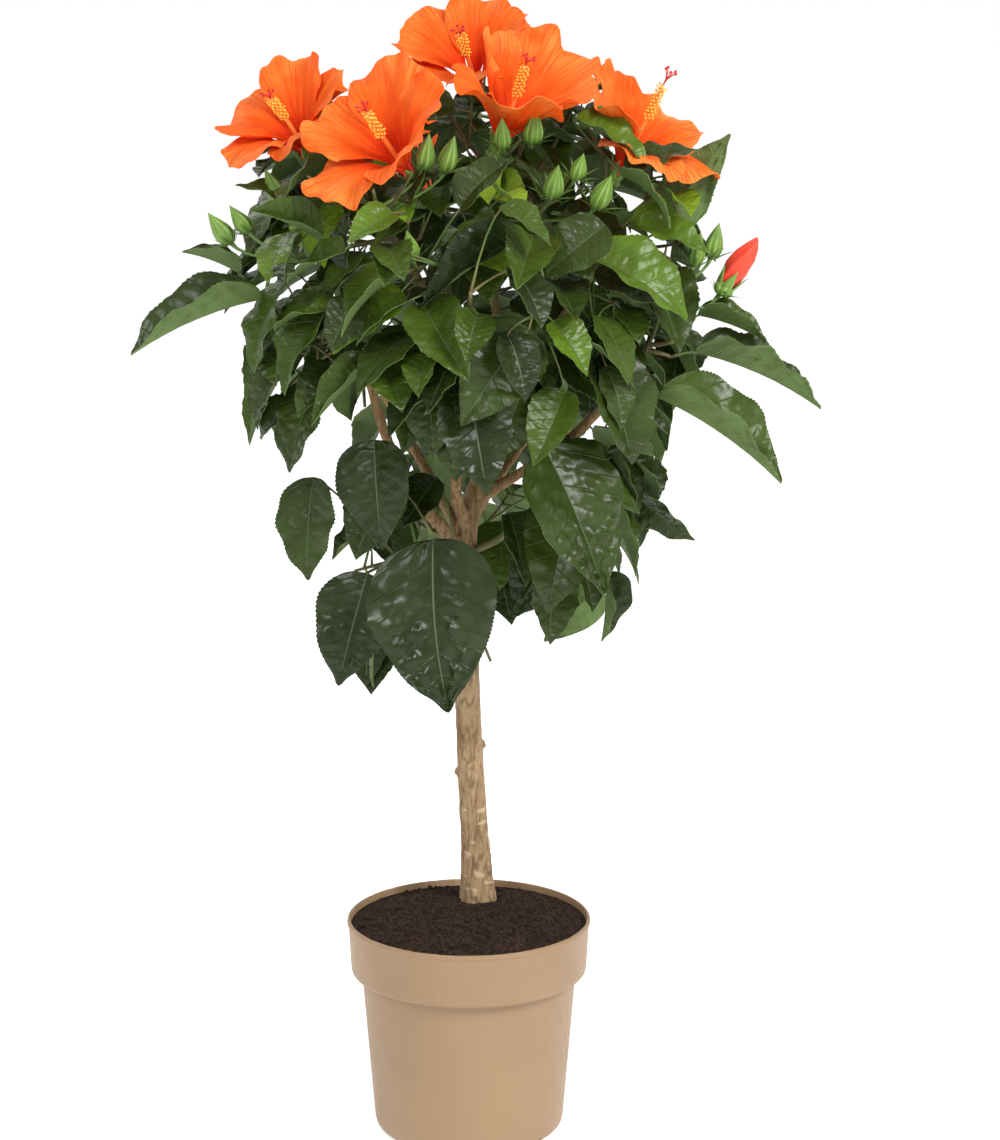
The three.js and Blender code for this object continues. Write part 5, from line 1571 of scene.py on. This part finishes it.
def petal_point(bloom, petal, t, s, h):
    """Points of one petal: t from throat to rim, s across it, h above its face."""
    faces, reach_mm = bloom["faces"], bloom["petal"] * petal["reach"]
    flare, lean = math.radians(bloom["flare"] + petal["flare"]), math.radians(petal_lean)
    start = unit(np.cross(faces, up))
    broad = np.clip(0.30 + 1.25 * t ** 0.8, 0, 1.0) * math.radians(petal["half"])
    turn = math.radians(bloom["turn"] + petal["turn"]) + broad * s
    rounded = 1 - 0.34 * np.abs(s) ** 3.2 - 0.06 * petal["notch"] * np.exp(-(s / 0.12) ** 2)
    scallop = 0.032 * np.sin(s * 6 + petal["phase"]) + 0.018 * np.sin(s * 14 + 2 * petal["phase"])
    scallop = (scallop + 0.008 * np.sin(s * 29 + 3 * petal["phase"])) * (1 - 0.5 * np.abs(s))
    reach = t * (1 + (rounded - 1 + scallop) * t ** 2)
    spread = flare - lean
    a = lean + spread * reach
    high = reach_mm * (np.sin(a) - math.sin(lean)) / spread
    wide = reach_mm * (math.cos(lean) - np.cos(a)) / spread
    across = np.cross(faces, start)
    out = start * np.cos(turn)[:, None] + across * np.sin(turn)[:, None]
    normal = faces * np.sin(a)[:, None] - out * np.cos(a)[:, None]
    ruffle = bloom["petal"] * t ** 2.4 * (
        0.056 * np.sin(s * 4.6 + petal["phase"]) + 0.034 * t * np.sin(s * 9.5 + petal["phase"] * 2.3)
        + 0.016 * t ** 3 * np.sin(s * 18.0 + petal["phase"] * 3.1))
    pleat = 0.55 * np.sin(s * 21 + petal["phase"]) * np.sin(np.pi * np.clip(t, 0, 1)).clip(0) ** 0.7
    droop = -bloom["petal"] * petal["droop"] * t ** 2.2
    curl = bloom["petal"] * petal["curl"] * s * t ** 1.6
    crumple = np.array([noise.noise(Vector((2.4 * u, 3.2 * v, petal["phase"] * 5))) for u, v in zip(t, s)])
    crumple = bloom["petal"] * 0.055 * crumple * np.clip(t * 1.6, 0, 1)
    lift = 1.3 * s * np.clip(t * 3, 0, 1) + ruffle + pleat + crumple + droop + curl + h
    return (bloom["foot"] + faces * (petal_foot + high)[:, None] + out * (petal_ring + wide)[:, None]
            + normal * lift[:, None])


# %% Petals of each bloom
petal_lot = np.random.default_rng(12)
bloom_list = [bloom for mass in masses for bloom in mass["bloom_parts"]]
petal_stamps, petal_uvs = [], []
# How each petal of each bloom is held: its reach as a share, and how much further it flares, in degrees.
petal_poses = [
    [(0.98, 14), (0.90, 2), (0.98, -8), (1.04, -12), (1.0, -8)],
    [(1.02, 24), (0.98, 8), (0.98, -10), (1.12, -26), (1.02, 4)],
    [(0.94, 4), (1.02, -4), (1.18, 2), (0.98, -10), (0.84, 10)],
    [(0.98, 14), (0.98, 6), (1.04, -12), (1.02, -8), (1.04, 4)],
    [(1.0, 18), (1.02, 10), (0.98, -4), (1.04, -22), (1.0, -8)],
    [(1.0, 6), (0.96, -8), (1.04, 8), (0.98, -12), (1.0, 4)],
]
for bloom, poses in zip(bloom_list, petal_poses):
    for k, (petal_reach, petal_flare) in enumerate(poses):
        spare = petal_lot.uniform
        petal = {"turn": 36 + 72 * k + spare(-5, 5), "reach": petal_reach * spare(0.98, 1.02),
                 "flare": petal_flare + spare(-4, 4), "half": spare(44, 51), "phase": spare(0, 2 * math.pi),
                 "notch": spare(0, 1), "droop": spare(-0.04, 0.07), "curl": spare(-0.06, 0.06)}
        flat, faces = petal_template
        t, s, h = flat.T
        place = petal_point(bloom, petal, t, s, h * petal_thickness / 2 + 0.9 * (k - 2) * (1 - t) * 0.2)
        petal_stamps.append((place, faces))
        petal_uvs.append(np.stack((t, s), 1))
print("petals", len(petal_stamps), "faces of a petal", len(petal_template[1]))

# %% [markdown]
# ## Petal finish
# The petal is thin and wet inside, so it glows a little, and its face has fine rays from the throat to the
# rim. The colour goes from red at the foot to orange, and to a lighter peach in patches at the rim.

# %% Petal finish
silk = Recipe("orange_petal")
uv = silk.add("UVMap", settings={"uv_map": "petal"})
split = silk.add("SeparateXYZ", Vector=uv).node
t = split.outputs[0]
rays = silk.noise(silk.stretch(uv, (1.2, 26, 1)), 1.6, detail=4, roughness=0.6)
fine_rays = silk.noise(silk.stretch(uv, (2.5, 60, 1)), 1.6, detail=2)
cloud = silk.noise(silk.where(), 30, detail=3)
colour = silk.mix(silk.range(t, 0.05, 0.62), (0.95, 0.030, 0.003), (1.0, 0.130, 0.007))
colour = silk.mix(silk.math("MULTIPLY", silk.range(t, 0.5, 1.0), silk.range(cloud, 0.35, 0.65)), colour,
                  (1.0, 0.26, 0.045))
colour = silk.mix(silk.math("MULTIPLY", silk.range(rays, 0.48, 0.62), 0.75), colour, (0.94, 0.044, 0.004))
petal_skin = silk.math("ADD", rays, silk.math("MULTIPLY", fine_rays, 0.6))
petal_material = silk.finish(Base_Color=colour, Roughness=0.58, Specular_IOR_Level=0.16,
                             Subsurface_Weight=0.45, Subsurface_Scale=0.0025,
                             Normal=silk.bump(petal_skin, 0.8, 0.0014))
petal_mesh = mesh_from("petals", *stamp(petal_stamps), [petal_material])
put_uv(petal_mesh, "petal", np.concatenate(petal_uvs))
new_piece("petals", petal_mesh)
petal_mesh.set_sharp_from_angle(angle=math.radians(65))

# %% Columns, anthers and stigmas
column_tubes, anther_balls, stigma_parts = [], [], []
column_points, anther_count, stigma_count, long_column = 9, 64, 5, 1.1
column_template, filament_template, thread_template = (
    tube_template(column_points, 10), tube_template(3, 3), tube_template(4, 5))
column_reaches = (0.98, 1.0, 0.96, 1.0, 1.22, 1.0)
for bloom, column_reach in zip(bloom_list, column_reaches):
    foot, faces, petal = bloom["foot"], bloom["faces"], bloom["petal"]
    start = unit(np.cross(faces, up))
    across = np.cross(faces, start)
    bow = start * petal_lot.uniform(-4, 4) + across * petal_lot.uniform(-4, 4)
    reach = petal * column_reach
    line = np.array([foot + faces * mixed(petal_foot - 2, reach, k) + bow * k * k
                     for k in np.linspace(0, 1, column_points)])
    column_tubes.append(tube_along(line, np.linspace(2.1, 1.15, column_points), column_template))
    for k in range(anther_count):
        at_line = uniform_spline(line, mixed(0.60, 0.97, (k + 0.5) / anther_count))
        turn = math.radians(golden_turn * k)
        way = unit(start * math.cos(turn) + across * math.sin(turn) + faces * 0.35)
        end = at_line + way * petal_lot.uniform(2.6, 4.4)
        column_tubes.append(tube_along(np.linspace(at_line, end, 3), [0.28, 0.24, 0.22], filament_template))
        anther_balls.append((ball_points * petal_lot.uniform(0.8, 1.15, 3) + end, ball_faces))
    for k in range(stigma_count):
        turn = math.radians(360 / stigma_count * k + 20)
        way = start * math.cos(turn) + across * math.sin(turn)
        thread_reach = petal * (0.16 if column_reach > long_column else 0.085)
        tip = line[-1]
        top = tip + faces * thread_reach + way * petal_lot.uniform(3.6, 5.6)
        thread = [quadratic(tip, tip + faces * thread_reach * 0.6, top, q) for q in (0, 0.35, 0.7, 1)]
        stigma_parts.append(tube_along(thread, [0.42] * 4, thread_template))
        stigma_parts.append((ball_points * 1.25 + top, ball_faces))
print("anthers", len(anther_balls))
column_material = plain_finish("column", 60, (0.95, 0.20, 0.03), (1.0, 0.33, 0.06), 0.5)
pollen_material = plain_finish("pollen", 500, (0.95, 0.42, 0.02), (1.0, 0.66, 0.10), 0.85)
stigma_material = plain_finish("stigma", 400, (0.42, 0.006, 0.008), (0.62, 0.02, 0.016), 0.7)
new_piece("columns", mesh_from("columns", *stamp(column_tubes), [column_material]))
new_piece("anthers", mesh_from("anthers", *stamp(anther_balls), [pollen_material]))
new_piece("stigmas", mesh_from("stigmas", *stamp(stigma_parts), [stigma_material]))

# %% [markdown]
# ## Green cups and buds
# Under each bloom is a green cup with five pointed lobes, and outside that a ring of narrow bracts. A bud is
# the same cup still closed: ribbed, striped with pale green, drawn to a point, on a stout stalk. One bud is
# about to open, and its rolled red petals stand out of the cup. Each is a body spun from a few rings, with
# every few ribs pressed in.


# %% Bud template
def ribbed(section, sides, ribs, depth, twist):
    """A body spun from a section line, whose sides go in and out round the axis and wind about it."""
    points, faces = arrays_of(spun(section, sides))
    turn = np.arctan2(points[:, 1], points[:, 0])
    high = max(z for _, z in section)
    turn_on = turn + twist * points[:, 2] / high
    press = 1 + depth * np.cos(ribs * turn)
    radius = np.hypot(points[:, 0], points[:, 1]) * press
    return np.stack((radius * np.cos(turn_on), radius * np.sin(turn_on), points[:, 2]), 1), faces


# Radius and height of each ring, as shares of the whole.
bud_section = [(0, 0), (0.45, 0.02), (0.78, 0.10), (0.97, 0.24), (1.0, 0.36), (0.90, 0.50), (0.70, 0.64),
               (0.47, 0.78), (0.25, 0.90), (0.10, 0.98), (0, 1.04)]
roll_section = [(0, 0), (0.5, 0.03), (0.8, 0.2), (0.95, 0.42), (0.82, 0.66), (0.5, 0.86), (0.2, 0.98),
                (0, 1.03)]
bud_sides, bud_ribs = 30, 5
bud_body = ribbed(bud_section, bud_sides, bud_ribs, 0.09, 0.5)
roll_body = ribbed(roll_section, bud_sides, bud_ribs, 0.13, 1.6)


def stood(body, foot, way, radius, height):
    """A body that stands on the axis, moved to a foot and turned to a way."""
    points, faces = body
    side = beside(way)
    across = np.cross(way, side)
    return (foot + side * points[:, :1] * radius + across * points[:, 1:2] * radius
            + way * points[:, 2:] * height), faces


sepal_template = leaf_template(6, (-1, -0.4, 0.4, 1))


def sepal(foot, way, out, length, width, curl):
    """A narrow pointed leaflet from a foot, along a way, that bends outwards by curl."""
    flat, faces = sepal_template
    t, s, h = flat.T
    side = unit(np.cross(way, out))
    bent = unit(way + out * curl)
    middle = foot + way * (t * (1 - t) * length)[:, None] + bent * (t * t * length)[:, None]
    wide = width / 2 * np.clip(1 - t ** 1.6, 0, 1) * s * (0.75 + 0.6 * t * (1 - t))
    thick = 0.3 * h * (1 - 0.6 * t)
    return middle + side * wide[:, None] + out * (thick - 0.9 * np.abs(s) * width * 0.12)[:, None], faces


# %% Buds, cups and bracts
bud_lot = np.random.default_rng(21)
green_parts, roll_parts, bract_parts, stalk_parts = [], [], [], []
stout_stalk, sepal_count = tube_template(6, 8), 5


def add_bracts(foot, way, count, length, radius, curl):
    start = beside(way)
    for k in range(count):
        out = turned(start, way, 2 * math.pi * (k + bud_lot.uniform(-0.12, 0.12)) / count)
        bract_parts.append(sepal(foot + out * radius * 0.7, unit(way * 0.8 + out * 0.8), out,
                                 length * bud_lot.uniform(0.8, 1.1), 2.3, curl))


def add_cup(foot, way, radius, rise, open_by, length, width, curl):
    """The five pointed lobes of a cup."""
    start = beside(way)
    for k in range(sepal_count):
        out = turned(start, way, 2 * math.pi * k / sepal_count)
        green_parts.append(sepal(foot + out * radius + way * rise, unit(way + out * open_by), out, length,
                                 width, curl))


def add_stout_stalk(root, foot, way, lead, radii):
    line = [quadratic(root, foot - way * lead, foot + way, q) for q in np.linspace(0, 1, len(radii))]
    stalk_parts.append(tube_along(line, radii, stout_stalk))


for bud in (bud for mass in masses for bud in mass["bud_parts"]):
    foot, closed = bud["foot"], bud["size"] < opening_bud
    way, reach = unit(bud["tip"] - foot), np.linalg.norm(bud["tip"] - foot)
    add_stout_stalk(bud["root"], foot, way, reach * 0.5, [1.3, 1.1, 1.05, 1.05, 1.3, 2.1])
    fat = bud["fat"] * (0.9 if closed else 1.08)
    if closed:
        green_parts.append(stood(bud_body, foot, way, fat, reach))
        add_bracts(foot, way, 8, reach * 0.72, fat * 0.8, 0.35)
    else:
        roll_parts.append(stood(roll_body, foot + way * reach * 0.12, way, fat * 0.98, reach * 0.88))
        add_cup(foot, way, fat * 0.55, 2, 0.4, reach * 0.42, fat * 1.15, -0.1)
        green_parts.append(stood(bud_body, foot, way, fat * 0.82, reach * 0.30))
        add_bracts(foot, way, 7, reach * 0.34, fat * 0.5, 0.8)
for bloom in bloom_list:
    way, foot = bloom["faces"], bloom["foot"]
    add_stout_stalk(bloom["root"], foot, way, 9, [1.5, 1.3, 1.25, 1.3, 1.6, 2.6])
    green_parts.append(stood(bud_body, foot, way, 6.6, 15))
    add_cup(foot, way, 4.2, 5, 0.22, 21, 9.5, 0.12)
    add_bracts(foot, way, 7, 13, 4.4, 0.9)
    roll_parts.append(stood(roll_body, foot + way * 8, way, 6.2, 15))
print("green parts", len(green_parts), "bracts", len(bract_parts))

# %% Bud finishes
bud_green = Recipe("bud_green")
uv = bud_green.add("UVMap", settings={"uv_map": "bud"})
split = bud_green.add("SeparateXYZ", Vector=uv).node
from_middle = bud_green.math("SUBTRACT", bud_green.math("FRACT", split.outputs[0]), 0.5)
rib_line = bud_green.math("ABSOLUTE", from_middle)
bud_colour = bud_green.over((0.125, 0.245, 0.030), (0.32, 0.44, 0.11), rib_line, 0.30, 0.48)
mottled = bud_green.noise(bud_green.where(), 90)
bud_colour = bud_green.over(bud_colour, (0.075, 0.16, 0.025), mottled, 0.4, 0.7, 0.5)
bud_material = bud_green.finish(Base_Color=bud_colour, Roughness=0.5, Specular_IOR_Level=0.4,
                                Normal=bud_green.bump(bud_green.noise(bud_green.where(), 600), 0.3, 0.0004))
stripes_around = 10


def around(parts, per_turn):
    """For the stripes: how far round its own axis each point is, counted in stripes, and how high."""
    out = []
    for points, _ in parts:
        middle = points - points.mean(0)
        axis = unit(np.linalg.svd(middle, full_matrices=False)[2][0])
        side = beside(axis)
        turn = np.arctan2(middle @ np.cross(axis, side), middle @ side)
        out.append(np.stack((turn / (2 * np.pi) * per_turn, middle @ axis), 1))
    return np.concatenate(out)


green_mesh = mesh_from("buds", *stamp(green_parts), [bud_material])
put_uv(green_mesh, "bud", around(green_parts, stripes_around))
new_piece("buds", green_mesh)
bract_material = plain_finish("bract", 70, (0.06, 0.125, 0.02), (0.13, 0.23, 0.045), 0.5)
new_piece("bracts", mesh_from("bracts", *stamp(bract_parts), [bract_material]))
new_piece("flower_stalks", mesh_from("flower_stalks", *stamp(stalk_parts), [bract_material]))
rolled = Recipe("rolled_petal")
streaks = rolled.noise(rolled.stretch(rolled.where(), (1, 1, 0.4)), 160)
rolled_colour = rolled.mix(streaks, (0.62, 0.018, 0.010), (0.86, 0.065, 0.016))
rolled_material = rolled.finish(Base_Color=rolled_colour, Roughness=0.5, Sheen_Weight=0.1)
new_piece("rolled_petals", mesh_from("rolled_petals", *stamp(roll_parts), [rolled_material]))
